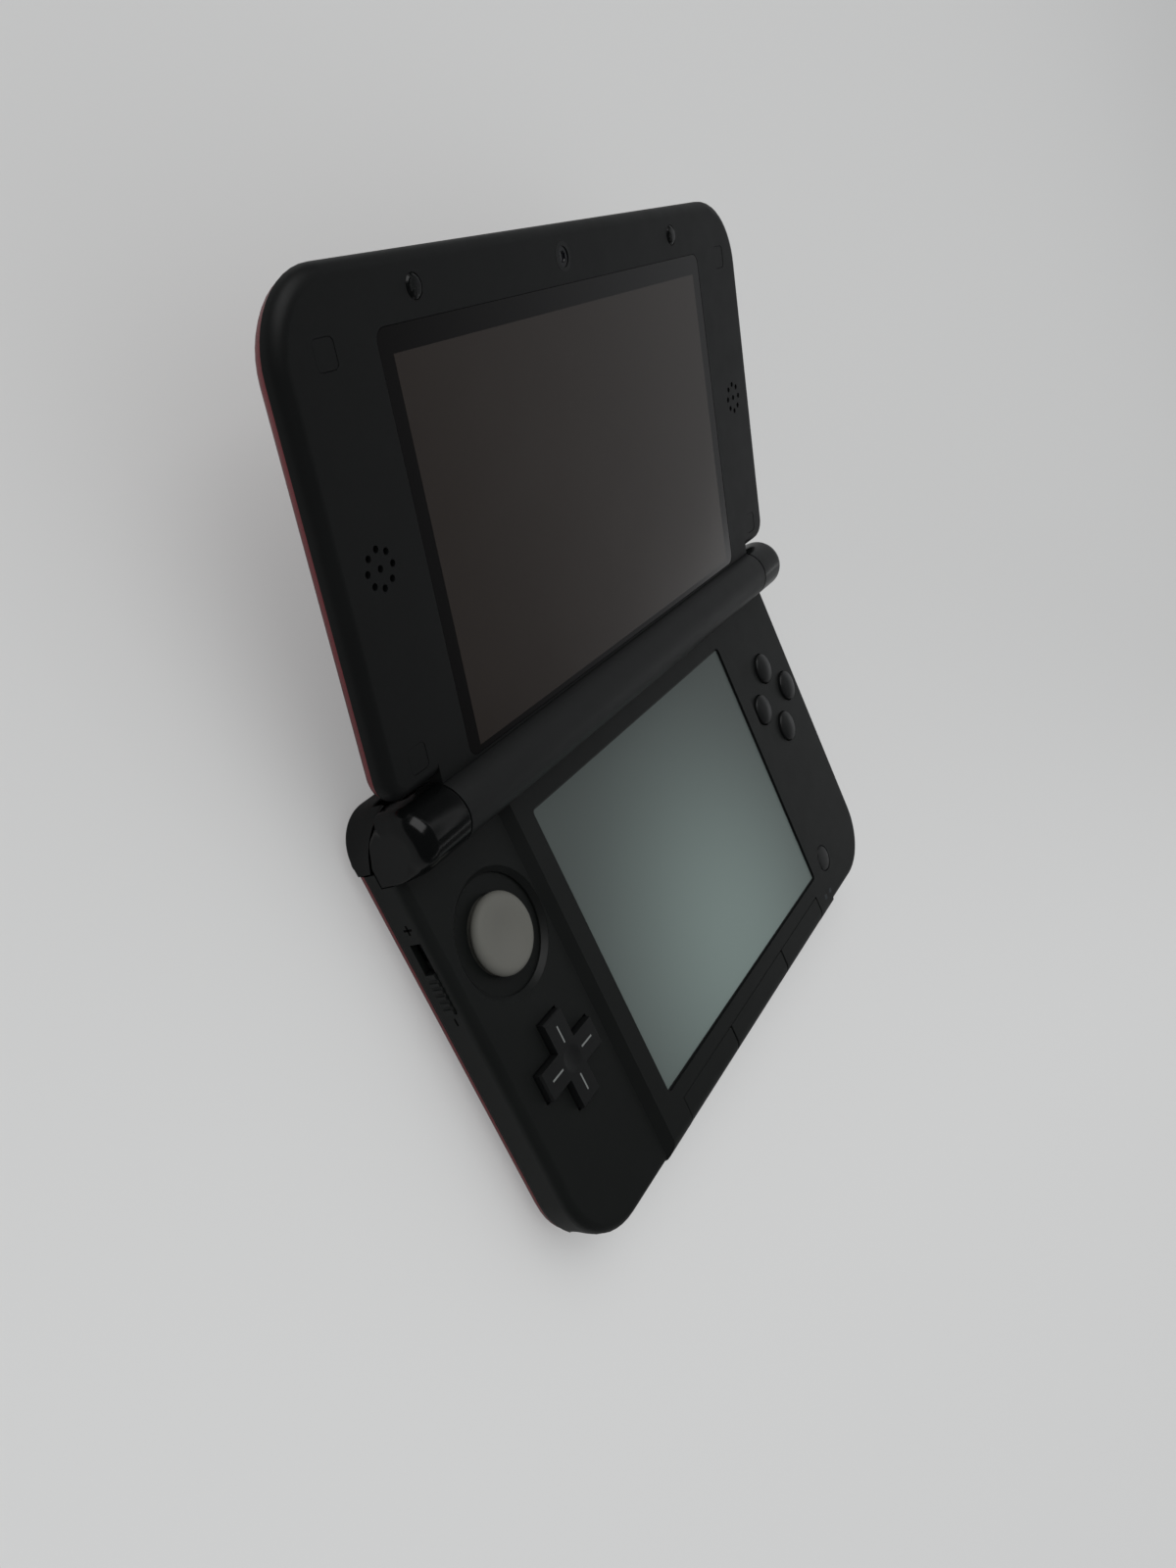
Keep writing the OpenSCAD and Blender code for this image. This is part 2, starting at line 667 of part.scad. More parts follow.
module main_board() {
  color("#1f5a38") difference() {
    union() {
      box(-48, side_x - 4, front_y + 8, screen_y + 17.2, board_z - board_t, board_z);
      box(pad_x - 12.5, -47, dpad_y - 11.5, dpad_y + 11.2, board_z - board_t, board_z);
    }
    for (p = [[44, screen_y - 18], [-44, screen_y + 2]])
      translate([p[0], p[1], 0]) cylinder(r = 1, h = 20);
    translate([screw_x, screw_y, 0]) cylinder(r = post_r + 0.6, h = 20);
  }
}

module battery_pack() {
  color("#c9c9c4") difference() {
    plate_at(0, battery_y, battery_w / 2, battery_d / 2, 1.5, wall + seat, board_z - board_t - 0.15);
    for (i = [-1 : 1])
      box(battery_w / 2 - 1, battery_w / 2 + over, battery_y + 4 * i - 1.2, battery_y + 4 * i + 1.2,
          wall + 1.5, wall + 3.2);
  }
}

module mat(x, y, r, h, hole) {
  translate([x, y, board_z]) difference() {
    cylinder(r = r, h = h);
    translate([0, 0, -over]) cylinder(r = hole, h = h + 2 * over);
  }
}

module rubber_mats() {
  color("#777a78") {
    mat(pad_x, dpad_y, 9.6, 0.2, rocker_r + 0.5);
    translate([cluster_x, cluster_y, 0]) for (i = [0 : 3])
      mat(cluster_r * cos(90 * i), cluster_r * sin(90 * i), 3.6, 0.25, 0.8);
    mat(power_x, power_y, 3.4, 0.9, 0.8);
    for (x = [-27, 0, 27]) translate([x, front_y + 3.6, shelf_z]) {
      difference() {
        translate([-8, -1.2, 0]) cube([16, 2.4, 0.3]);
        cylinder(r = 0.6, h = over);
      }
    }
  }
}

module game_card_slot() {
  color("#3b3d3e") difference() {
    box(card_x0 + seat, card_x0 + card_w - seat, card_y + seat, back_y - port_in - seat,
        card_z - card_wall + seat, card_z + card_h + card_wall - seat);
    box(card_x0 + card_wall, card_x0 + card_w - card_wall, card_y + 1.2, back_y + over,
        card_z, card_z + card_h);
  }
}

module memory_card_reader() {
  color("#9a9da0") difference() {
    box(reader_x, side_x - 2.1, reader_y - reader_w / 2 + 0.2, reader_y + reader_w / 2 - 0.2,
        board_z + seat, board_z + 2.6);
    box(reader_x + 1, side_x, reader_y - reader_w / 2 + 0.6, reader_y + reader_w / 2 - 0.6,
        board_z + 0.3, board_z + 2.3);
  }
}

// Hinged door over the memory card
module card_flap() {
  color(black) difference() {
    union() {
      translate([side_x - 0.05 - flap_t / 2, reader_y - reader_w / 2 + 0.2, flap_low + flap_t / 2])
        rotate([-90, 0, 0]) cylinder(r = flap_t / 2, h = reader_w - 0.4);
      box(side_x - flap_t - 0.05, side_x - 0.05, reader_y - reader_w / 2 + 0.2, reader_y + reader_w / 2 - 0.2,
          flap_low + flap_t / 2, flap_top);
    }
    // nail notch
    translate([side_x + 1.4, reader_y, flap_top - 0.4]) sphere(r = 1.9);
  }
}

module headphone_socket() {
  color("#2c2d2f") difference() {
    box(jack_x - 2.8, jack_x + 2.8, jack_y, jack_y + 12, jack_z - 2.9, jack_z + 2.8);
    translate([jack_x, jack_y + 11, jack_z]) rotate([90, 0, 0]) cylinder(r = jack_dia / 2, h = 14);
  }
}

module charging_socket() {
  color("#4b4d4f") difference() {
    box(charge_x - charge_w / 2 + seat, charge_x + charge_w / 2 - seat, back_y - 9.4, back_y - port_in - seat,
        card_z - card_wall + seat, rear_roof - 2 * seat);
    box(charge_x - 4.6, charge_x + 4.6, back_y - 7.5, back_y + over, card_z + 0.2, card_z + 3.4);
    box(charge_x - 2.6, charge_x + 2.6, back_y - 7.5, back_y + over, card_z + 0.2, card_z + 4);
  }
  // contact blade
  color("#b5a36a") box(charge_x - 3.2, charge_x + 3.2, back_y - 7.6, back_y - 3, card_z + 1.4, card_z + 2.1);
}

module infrared_window() {
  color("#2a0b10") box(window_x - window_w / 2 + seat, window_x + window_w / 2 - seat,
                       back_y - wall + seat, back_y - seat, seam_h + 0.45, ledge_z - 1.45);
}

module indicator_lights() {
  color("#6e7f86") for (i = [0, 1])
    translate([strip_w / 2 + 4.8 + 3.2 * i, front_y + 4.6, deck_z - wall])
      cylinder(r = 0.75 - seat / 2, h = 1.5 + wall + 0.02 + platform_rise - 0.5);
}

module stylus_sleeve() {
  color("#47494b") difference() {
    rod_x(side_x - stylus_len - 1.6, side_x - 0.5, stylus_y, stylus_z, stylus_r + sleeve_t);
    rod_x(side_x - stylus_len - 0.6, side_x + over, stylus_y, stylus_z, stylus_r + 0.08);
  }
}

module stylus() {
  color(black) translate([side_x - stylus_len, stylus_y, stylus_z]) rotate([0, 90, 0])
    difference() {
      rotate_extrude() polygon([
        [0, 0], [0.5, 0.15], [0.7, 0.6], [stylus_r * 0.75, 6], [stylus_r, 9],
        [stylus_r, stylus_len - 12], [stylus_r - 0.3, stylus_len - 11.6],
        [stylus_r - 0.3, stylus_len - 10.6], [stylus_r, stylus_len - 10.2],
        [stylus_r, stylus_len - 0.6], [stylus_r - 0.6, stylus_len], [0, stylus_len]]);
      // flat that a fingernail catches
      translate([-stylus_r - over, -stylus_r, stylus_len - 3]) cube([over + 0.8, 2 * stylus_r, 1.6]);
    }
}

/* Slide pad */

module slide_pad_housing() {
  color("#55585a") translate([pad_x, pad_y, 0]) difference() {
    union() {
      plate(12.8, -13, 13, 1.4, 1.4, tray_z - 0.7, tray_z);
      for (s = [-1, 1]) {
        translate([s < 0 ? -12.6 : 11.8, -8.8, tray_z - 0.1]) cube([0.8, 17.6, carriage_z - tray_z + 0.05]);
        translate([-12.6, s < 0 ? -8.8 : 7.1, tray_z - 0.1]) cube([25.2, 1.7, carriage_z - tray_z + 0.05]);
        translate([-12.6, s < 0 ? -7.2 : 5.6, tray_z - 0.1])
          cube([25.2, 1.6, carriage_z - carriage_t - tray_z]);
        for (t = [-1, 1]) translate([11.4 * s, 11.6 * t, tray_z - 0.1])
          cylinder(r = 1.2, h = under_z - tray_z);
      }
    }
    for (s = [-1, 1], t = [-1, 1]) translate([11.4 * s, 11.6 * t, tray_z]) cylinder(r = 0.5, h = 20);
  }
}

module slide_pad_carriage() {
  color("#8b8e90") translate([pad_x, pad_y, carriage_z - carriage_t]) difference() {
    translate([-carriage_w / 2, -carriage_d / 2, 0]) cube([carriage_w, carriage_d, carriage_t]);
    translate([-tongue / 2 - 0.08, -tongue / 2 - pad_travel - 0.2, -over])
      cube([tongue + 0.16, tongue + 2 * pad_travel + 0.4, carriage_t + 2 * over]);
    for (s = [-1, 1]) translate([s * 6.2, 0, -over]) cylinder(r = 1.2, h = 10);
  }
}

module slide_pad() {
  r = pad_dia / 2;
  base_z = recess_floor + 0.35;
  top_z = platform_z - 0.05;
  color("#77766f") translate([pad_x, pad_y, 0]) {
    rotate_extrude() difference() {
      union() {
        translate([0, skirt_z - skirt_t]) square([skirt_r, skirt_t]);
        translate([0, skirt_z - 0.1]) square([neck_r, base_z - skirt_z + 0.2]);
        translate([0, base_z]) square([r - 0.9, top_z - base_z]);
        translate([0, base_z + 0.9]) square([r, top_z - base_z - 1.8]);
        for (z = [base_z + 0.9, top_z - 0.9]) translate([r - 0.9, z]) circle(r = 0.9);
      }
      // shallow dish that the thumb rests in
      translate([0, top_z + 40 - 0.9]) circle(r = 40, $fn = 720);
      translate([-50, 0]) square([50, 100]);
    }
    translate([-tongue / 2, -tongue / 2, carriage_z - carriage_t - 0.5])
      cube([tongue, tongue, skirt_z - carriage_z + carriage_t]);
  }
}

/* Direction pad and buttons */

module dpad_rocker() {
  color("#6b6e6c") translate([pad_x, dpad_y, board_z + 0.15])
    rotate_extrude() polygon([[0, 0], [rocker_r, 0], [rocker_r, 0.3], [rocker_r - 0.6, 0.6],
                              [0, dpad_flange_z - dpad_flange_t - board_z - 0.35]]);
}

module dpad() {
  color(gloss) difference() {
    union() {
      cross(dpad_span, dpad_arm, dpad_flange_z - 0.1, dpad_top);
      translate([pad_x, dpad_y, dpad_flange_z - dpad_flange_t])
        cylinder(r = dpad_flange_r, h = dpad_flange_t);
    }
    // dished middle
    translate([pad_x, dpad_y, dpad_top + 15.75]) sphere(r = 16);
    // bevels at the ends of the arms
    for (a = [0 : 3]) translate([pad_x, dpad_y, dpad_top]) rotate([0, 0, 90 * a])
      translate([dpad_span / 2, -dpad_arm, 0]) rotate([0, 45, 0])
        translate([-0.25, 0, -0.25]) cube([0.5, 2 * dpad_arm, 0.5]);
  }
}

// Domed round button with the flange that keeps it under the deck
module round_button(x, y, r, top, dome, flange_r, flange_z, stem) {
  color(gloss) translate([x, y, 0]) rotate_extrude() intersection() {
    union() {
      translate([0, flange_z]) square([r, top - flange_z]);
      translate([0, flange_z]) square([flange_r, 0.7]);
      translate([0, stem]) square([r * 0.55, flange_z - stem + 0.1]);
    }
    translate([0, top - dome]) circle(r = dome, $fn = 360);
    translate([0, 0]) square([20, 40]);
  }
}

module face_button(i) {
  p = face_at(i);
  round_button(p[0], p[1], face_dia / 2, face_top, 9, face_flange_r, under_z - 0.8,
               board_z + face_travel + 0.3);
}

module right_face_button() {
  face_button(0);
}

module top_face_button() {
  face_button(1);
}

module left_face_button() {
  face_button(2);
}

module bottom_face_button() {
  face_button(3);
}

module power_button() {
  round_button(power_x, power_y, power_dia / 2, deck_z + 0.15, 30, power_dia / 2 + 0.8, under_z - 0.8,
               board_z + 1.4);
}

// One of three keys that wrap over the platform's front lip
module function_button(x0, x1) {
  color(black) intersection() {
    translate([0, 0, -0.06]) platform();
    translate([0, (front_y + strip_y) / 2, 0])
      translate([(x0 + x1) / 2, 0, 0]) plate((x1 - x0) / 2, -strip_d / 2 - 2, strip_d / 2, 0.6, 0.6,
                                           strip_z, platform_z + over);
  }
}

module left_function_button() {
  function_button(-strip_w / 2, -split_x - split / 2);
}

module middle_function_button() {
  function_button(-split_x + split / 2, split_x - split / 2);
}

module right_function_button() {
  function_button(split_x + split / 2, strip_w / 2);
}

// Section of a shoulder button: across its band and up, rounded on the outside
module band(top, r_low, r_top) {
  translate([rear_r - shoulder_t, shoulder_low]) square([shoulder_t - r_low, r_low + 0.1]);
  translate([rear_r - r_low, shoulder_low + r_low]) circle(r = r_low);
  translate([rear_r - shoulder_t, shoulder_low + r_low]) {
    square([shoulder_t, top - r_top - r_low - shoulder_low]);
    square([shoulder_t - r_top, top - r_low - shoulder_low]);
  }
  translate([rear_r - r_top, top - r_top]) circle(r = r_top);
}

// Button that wraps round a rear corner and turns on a pin at its front end
module shoulder_button(s) {
  on_side(s) color(gloss) difference() {
    union() {
      intersection() {
        translate([side_x - rear_r, back_y - rear_r, 0]) rotate_extrude(angle = 90)
          band(shoulder_top, 0.8, 1.6);
        box(side_x - side_part, side_x + over, 0, back_y + over, 0, 2 * base_h);
      }
      translate([side_x - rear_r, back_y - rear_r, 0]) rotate_extrude(angle = 90)
        band(shoulder_rear_top, 0.8, 0.4);
      translate([side_x - rear_r, back_y - rear_r, 0]) rotate([90, 0, 0])
        linear_extrude(back_y - rear_r - shoulder_y) band(shoulder_top, 0.8, 1.6);
      translate([side_x - shoulder_w, back_y - rear_r, 0]) rotate([90, 0, 90])
        linear_extrude(shoulder_w - rear_r) band(shoulder_rear_top, 0.8, 0.4);
      // lug on the pin
      translate([shoulder_pin[0], shoulder_pin[1], shoulder_low + 0.3])
        cylinder(r = 1.85, h = block_low + 2 - shoulder_low);
    }
    translate([shoulder_pin[0], shoulder_pin[1], 0]) cylinder(r = shoulder_pin_r + 0.06, h = 40);
    // the side part climbs to the rear, below the hinge cover
    along_x(side_x - side_part - over, side_x + over) polygon([
      [shoulder_y - 10, shoulder_front - 10 * shoulder_rise], [shoulder_y - 10, 60], [shoulder_y + 20, 60],
      [shoulder_y + 20, shoulder_front + 20 * shoulder_rise]]);
  }
}

module left_shoulder_button() {
  shoulder_button(-1);
}

module right_shoulder_button() {
  shoulder_button(1);
}

module shoulder_pins() {
  color(steel) for (s = [-1, 1]) translate([s * shoulder_pin[0], shoulder_pin[1], shoulder_floor + seat])
    cylinder(r = shoulder_pin_r, h = shoulder_top - 0.1 - shoulder_floor - seat);
}

// Ridged key on a flange behind the side wall
module side_key(y0, length, height, ridges) {
  difference() {
    union() {
      box(side_x - wall - 0.2, side_x + 0.45, y0, y0 + length, slot_z - height / 2, slot_z + height / 2);
      box(side_x - wall - 1, side_x - wall - 0.2, y0 - 1.5, y0 + length + 1.5,
          slot_z - height / 2 - 0.8, slot_z + height / 2 + 0.6);
    }
    for (i = [1 : ridges]) translate([side_x + 0.45, y0 + length * i / (ridges + 1), 0])
      cylinder(r = 0.35, h = 40);
  }
}

module volume_slider() {
  color(black) on_side(-1)
    side_key(volume_y - volume_len / 2 + 0.2, volume_knob, slot_h - 0.3, 5);
}

module wireless_switch() {
  color(black) side_key(switch_y - switch_len / 2 + 0.2, switch_knob, 1.7, 2);
}

/* Lid */

module lid_frame() {
  color(black) lid_place() difference() {
    union() {
      pillow(side_x, lid_low, lid_top, lid_corner, corner_r, -frame_t, 0, 0, lid_edge);
      box(-barrel_half, barrel_half, axis_v + 3, lid_low + 3, -frame_t, 0);
    }
    rod_x(-side_x, side_x, axis_v, -lid_drop, hood_r);
    plate(upper_win_w / 2, upper_win_low, upper_win_up, 2.2, 2.2, -window_seat, over);
    plate(upper_win_w / 2 - 2.2, upper_win_low + 0.9, upper_win_up - 2.2, 1.2, 1.2, -10, over);
    for (s = [-1, 1]) {
      translate([s * speaker_x, speaker_v, -10]) cylinder(r = grille_hole, h = 20);
      for (a = [0 : 45 : 315])
        translate([s * speaker_x + grille_r * cos(a), speaker_v + grille_r * sin(a), -10])
          cylinder(r = grille_hole, h = 20);
      translate([s * bumper_x, inner_cam_v, -0.7]) cylinder(r = bumper_r, h = 5);
      for (p = caps) plate_at(s * p[0], p[1], cap_w / 2, cap_w / 2, 1, -0.7, over);
    }
    translate([0, inner_cam_v, -10]) cylinder(r = 1.8, h = 20);
    slider_notch();
  }
}

// Cut-out for the depth slider in the lid's right edge
module slider_notch() {
  box(side_x - slider_depth, side_x + over, slider_v - 0.2, slider_v + slider_cut - 0.2, -10, over);
  box(side_x - slider_depth - 1.4, side_x - slider_depth + 0.1, slider_v - 0.2, slider_v + slider_cut - 0.2,
      -10, -0.9);
}

module lid_cover() {
  rim = frame_t + 0.3;
  color(red) lid_place() difference() {
    union() {
      difference() {
        pillow(side_x - cover_step, lid_low, lid_top - cover_step, lid_corner, corner_r, -lid_h, -frame_t,
               lid_h - rim, 0, lid_roll, lid_roll);
        plate(side_x - cover_inner - 0.4, lid_low + cover_inner, lid_top - cover_inner - 0.4, 1,
              corner_r - cover_inner, -rim - 1.8, -frame_t + over);
        plate(side_x - 5.3, lid_low + 5, lid_top - 4.8, 1, corner_r - 5, -lid_cavity, -frame_t + over);
        box(-upper_win_w / 2, upper_win_w / 2, lid_low + cover_inner, 0, -lid_cavity, -frame_t + over);
      }
      // hood over the barrel
      along_x(-barrel_half, barrel_half) polygon([
        [lid_low + lid_roll + 1, -lid_h], [lid_low - 0.9, -lid_h], [lid_low - 2.9, -lid_h + 1.4],
        [lid_low - 3.6, -lid_h + 2.6], [lid_low - 3.6, -frame_t], [lid_low + cover_inner, -frame_t],
        [lid_low + cover_inner, -lid_cavity], [lid_low + lid_roll + 1, -lid_cavity]]);
    }
    rod_x(-side_x, side_x, axis_v, -lid_drop, hood_r);
    box(-web_x - 0.1, web_x + 0.1, axis_v, lid_low + web_in + 0.1, -web_low - 0.1, over);
    for (s = [-1, 1]) translate([s * outer_cam_x, outer_cam_v, -lid_h - over])
      cylinder(r = outer_cam_r + 0.1, h = 5);
  }
}

module lid_barrel() {
  color(black) lid_place() difference() {
    union() {
      rod_x(-barrel_half, barrel_half, axis_v, -lid_drop, barrel_r);
      box(-web_x, web_x, axis_v + 2, lid_low + web_in, -web_low, -frame_t - seat);
    }
    for (s = [-1, 1]) on_side(s)
      rod_x(seam_x - 9, seam_x + over, axis_v, -lid_drop, pin_dia / 2 + 0.06);
  }
}

module upper_window() {
  color("#17110f") lid_place()
    plate(upper_win_w / 2 - 0.1, upper_win_low + 0.1, upper_win_up - 0.1, 2.1, 2.1, -window_t - seat, -seat);
}

module upper_display() {
  color("#2b2523") lid_place() {
    plate(upper_lit_w / 2, -upper_lit_h / 2, upper_lit_h / 2, 0.5, 0.5, -frame_t, -window_seat - 0.02);
    plate(upper_lit_w / 2, lid_low + cover_inner + 0.8, upper_lit_h / 2, 0.5, 0.5,
          -frame_t - 1, -frame_t + 0.2);
    plate(upper_win_w / 2 - 1, lid_low + cover_inner + 0.6, upper_win_up - 1, 1, 1,
          -frame_t - display_t, -frame_t - seat);
  }
}

module speakers() {
  color("#3e4042") lid_place() for (s = [-1, 1]) translate([s * speaker_x, speaker_v, -frame_t - seat])
    rotate_extrude() polygon([[0, -0.4], [3.2, -0.4], [4.2, -0.1], [5.6, -0.1], [5.6, 0], [7, 0], [7, -1.8],
                              [4.8, -1.8], [4.8, -3.2], [0, -3.2]]);
}

module inner_camera() {
  color("#0b0c0e") lid_place() translate([0, inner_cam_v, 0]) rotate_extrude()
    polygon([[0, -4.4], [2.6, -4.4], [2.6, -frame_t - seat], [1.75, -frame_t - seat], [1.75, -0.15],
             [1.1, -0.15], [0.8, -0.5], [0, -0.4]]);
}

module outer_cameras() {
  color("#0b0c0e") lid_place() for (s = [-1, 1]) translate([s * outer_cam_x, outer_cam_v, -outer_cam_face])
    rotate_extrude() polygon([[0, 3.6], [2.8, 3.6], [2.8, 0.95], [outer_cam_r, 0.95], [outer_cam_r, 0.2],
                              [1.7, 0.2], [1.1, 0.6], [0, 0.45]]);
}

module lid_bumpers() {
  color(rubber) lid_place() for (s = [-1, 1]) translate([s * bumper_x, inner_cam_v, -0.7]) rotate_extrude()
    polygon([[0, 0], [bumper_r - seat, 0], [bumper_r - seat, 0.6], [bumper_r - 0.6, 1], [0, 1.05]]);
}

module lid_screw_caps() {
  color(rubber) lid_place() for (s = [-1, 1], p = caps)
    plate_at(s * p[0], p[1], cap_w / 2 - seat, cap_w / 2 - seat, 0.9, -0.7, -0.05);
}

module depth_slider() {
  color(black) lid_place() difference() {
    translate([0, slider_v + slider_len, 0]) rotate([90, 0, 0]) linear_extrude(slider_len) polygon([
      [side_x - slider_depth - 1.2, play - frame_t], [side_x - 0.1, play - frame_t], [side_x - 0.1, -2.2],
      [side_x - 0.5, -1.25], [side_x - 1.2, -0.55], [side_x - slider_depth + 0.1, -0.35],
      [side_x - slider_depth + 0.1, -1.2], [side_x - slider_depth - 1.2, -1.2]]);
    for (i = [1 : 5]) translate([side_x - 0.1, slider_v + slider_len * i / 6, -10]) cylinder(r = 0.3, h = 20);
  }
}

bottom_cover();
battery_cover();
battery_cover_screws();
case_screws();
rubber_feet();
upper_case();
left_hinge_cover();
right_hinge_cover();
hinge_pins();
touch_panel();
lower_display();
main_board();
battery_pack();
rubber_mats();
game_card_slot();
memory_card_reader();
card_flap();
headphone_socket();
charging_socket();
infrared_window();
indicator_lights();
stylus_sleeve();
stylus();
slide_pad_housing();
slide_pad_carriage();
slide_pad();
dpad_rocker();
dpad();
right_face_button();
top_face_button();
left_face_button();
bottom_face_button();
power_button();
left_function_button();
middle_function_button();
right_function_button();
left_shoulder_button();
right_shoulder_button();
shoulder_pins();
volume_slider();
wireless_switch();
lid_frame();
lid_cover();
lid_barrel();
upper_window();
upper_display();
speakers();
inner_camera();
outer_cameras();
lid_bumpers();
lid_screw_caps();
depth_slider();
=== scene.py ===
"""Clamshell handheld game console, open to its stop, seen from its left side."""

import json
import math

import bmesh
import bpy
from mathutils import Matrix, Vector

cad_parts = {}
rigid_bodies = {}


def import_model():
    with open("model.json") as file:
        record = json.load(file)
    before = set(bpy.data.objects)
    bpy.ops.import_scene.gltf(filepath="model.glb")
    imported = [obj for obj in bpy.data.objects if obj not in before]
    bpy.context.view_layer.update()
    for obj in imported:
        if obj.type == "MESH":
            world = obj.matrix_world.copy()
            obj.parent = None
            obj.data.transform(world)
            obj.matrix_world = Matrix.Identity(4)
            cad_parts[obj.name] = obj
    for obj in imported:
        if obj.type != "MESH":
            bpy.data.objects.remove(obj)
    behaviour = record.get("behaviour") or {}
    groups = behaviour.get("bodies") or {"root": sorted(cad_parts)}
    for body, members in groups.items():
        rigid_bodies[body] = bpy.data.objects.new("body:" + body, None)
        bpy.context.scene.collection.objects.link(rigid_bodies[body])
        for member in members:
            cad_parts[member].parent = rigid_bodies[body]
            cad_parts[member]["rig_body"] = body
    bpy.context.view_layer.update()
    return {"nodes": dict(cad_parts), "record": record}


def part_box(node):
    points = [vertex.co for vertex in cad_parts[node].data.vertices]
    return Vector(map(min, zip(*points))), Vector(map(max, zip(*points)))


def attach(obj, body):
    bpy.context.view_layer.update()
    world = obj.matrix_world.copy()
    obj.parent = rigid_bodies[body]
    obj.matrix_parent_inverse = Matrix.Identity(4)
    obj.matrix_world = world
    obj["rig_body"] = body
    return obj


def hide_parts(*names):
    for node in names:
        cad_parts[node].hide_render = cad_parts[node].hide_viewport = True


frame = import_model()
nodes = frame["nodes"]
MM = 0.001

# ---- Camera -------------------------------------------------------------
# A phone held close to the left hinge end, rolled so that the console seems
# to stand up. Its focal length was solved in pixels of the photograph.
camera_right = Vector((0.484883, -0.411624, 0.771657))
camera_up = Vector((0.439634, 0.877457, 0.191810))
camera_back = Vector((-0.756049, 0.246241, 0.606428))
camera_place = Vector((-0.199317, 0.082241, 0.152673))
focal_px, long_side_px = 1195.6, 1600
lens = bpy.data.cameras.new("camera")
lens.sensor_width = 36
lens.lens = lens.sensor_width * focal_px / long_side_px
lens.clip_start = 0.01
camera = bpy.data.objects.new("camera", lens)
camera.matrix_world = Matrix.Translation(camera_place) @ Matrix(
    (camera_right, camera_up, camera_back)
).transposed().to_4x4()
bpy.context.scene.collection.objects.link(camera)
bpy.context.scene.camera = camera
bpy.context.scene.view_settings.view_transform = "Standard"


# ---- Floor and light ------------------------------------------------------
# A pale, slightly grey studio floor that runs out of view, lit by a pale room,
# one wide soft lamp high up behind the hinge, and two narrow strips.
def linear(code):
    """Linear colour of an sRGB hex value."""
    parts = [int(code[i : i + 2], 16) / 255 for i in (1, 3, 5)]
    return [c / 12.92 if c < 0.04045 else ((c + 0.055) / 1.055) ** 2.4 for c in parts] + [1]


def add(tree, kind, inputs=None, **settings):
    """Adds a node; inputs are values or sockets by name, settings are its own properties."""
    new = tree.nodes.new(kind)
    for key, value in settings.items():
        setattr(new, key, value)
    for key, value in (inputs or {}).items():
        if isinstance(value, bpy.types.NodeSocket):
            tree.links.new(value, new.inputs[key])
        else:
            new.inputs[key].default_value = value
    return new


def new_material(name):
    """A material with its tree, its shader and the Object coordinates."""
    material = bpy.data.materials.new(name)
    material.use_nodes = True
    tree = material.node_tree
    place = add(tree, "ShaderNodeTexCoord").outputs["Object"]
    return material, tree, tree.nodes["Principled BSDF"], place


def make_object(name, shape, material):
    """Turns a finished bmesh into an object at the origin."""
    mesh = bpy.data.meshes.new(name)
    shape.to_mesh(mesh)
    shape.free()
    mesh.materials.append(material)
    made = bpy.data.objects.new(name, mesh)
    bpy.context.scene.collection.objects.link(made)
    return made


# matte paper: no gloss and soft shadows. To the eye it has a painted falloff of
# light, darker to the back and to the right, and an even painted glow that
# lifts its shadows; the console gets the light of a pale sheet, and its black
# plastic mirrors a dimmer one.
floor_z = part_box("rubber_feet")[0].z
floor_reach = 8
floor_paint, tree, shader, place = new_material("matte white paper")
ray = add(tree, "ShaderNodeLightPath").outputs
away = add(
    tree, "ShaderNodeVectorMath", {0: place, 1: (0.5, 1, 0)}, operation="DOT_PRODUCT"
)
# painted falloff of light: to the eye the paper darkens to the back and to the right
painted_falloff = add(
    tree,
    "ShaderNodeMapRange",
    {"Value": away.outputs["Value"], "From Min": -0.12, "From Max": 0.14},
    interpolation_type="SMOOTHSTEP",
)
paper_with_painted_falloff = add(
    tree,
    "ShaderNodeMix",
    {"Factor": painted_falloff.outputs["Result"], 6: linear("#a9a9a8"), 7: linear("#989897")},
    data_type="RGBA",
)
mirrored = add(
    tree,
    "ShaderNodeMix",
    {"Factor": ray["Is Glossy Ray"], 6: linear("#ededec"), 7: linear("#979796")},
    data_type="RGBA",
)
paper = add(
    tree,
    "ShaderNodeMix",
    {"Factor": ray["Is Camera Ray"], 6: mirrored.outputs[2], 7: paper_with_painted_falloff.outputs[2]},
    data_type="RGBA",
)
# painted light: to the eye the paper glows evenly, which lifts the object's shadow on it
shadow_lift = 0.252
lift = add(
    tree, "ShaderNodeMath", {0: ray["Is Camera Ray"], 1: shadow_lift}, operation="MULTIPLY"
)
tree.links.new(paper.outputs[2], shader.inputs["Base Color"])
tree.links.new(lift.outputs["Value"], shader.inputs["Emission Strength"])
shader.inputs["Roughness"].default_value = 0.9
shader.inputs["Specular IOR Level"].default_value = 0.1
shape = bmesh.new()
bmesh.ops.create_grid(shape, x_segments=1, y_segments=1, size=floor_reach)
bmesh.ops.translate(shape, verts=shape.verts, vec=(0, 0, floor_z))
make_object("floor", shape, floor_paint)

# one large soft lamp where no flat face mirrors it, and two narrow strips that
# the barrels mirror as streaks along their length; energies are in watts
for name, spot, energy, width, height in (
    ("soft lamp", (-0.15, 1.15, 1.35), 11.6, 1.5, 1.5),
    ("high strip", (0.6, 0.13, 0.76), 0.2, 1.4, 0.05),
    ("low strip", (0.5, -0.62, 0.3), 0.14, 1.4, 0.05),
):
    lamp = bpy.data.lights.new(name, "AREA")
    lamp.shape = "RECTANGLE"
    lamp.energy = energy
    lamp.size = width
    lamp.size_y = height
    holder = bpy.data.objects.new(name, lamp)
    holder.matrix_world = Matrix.Translation(spot) @ (
        Vector(spot).to_track_quat("Z", "Y").to_matrix().to_4x4()
    )
    bpy.context.scene.collection.objects.link(holder)

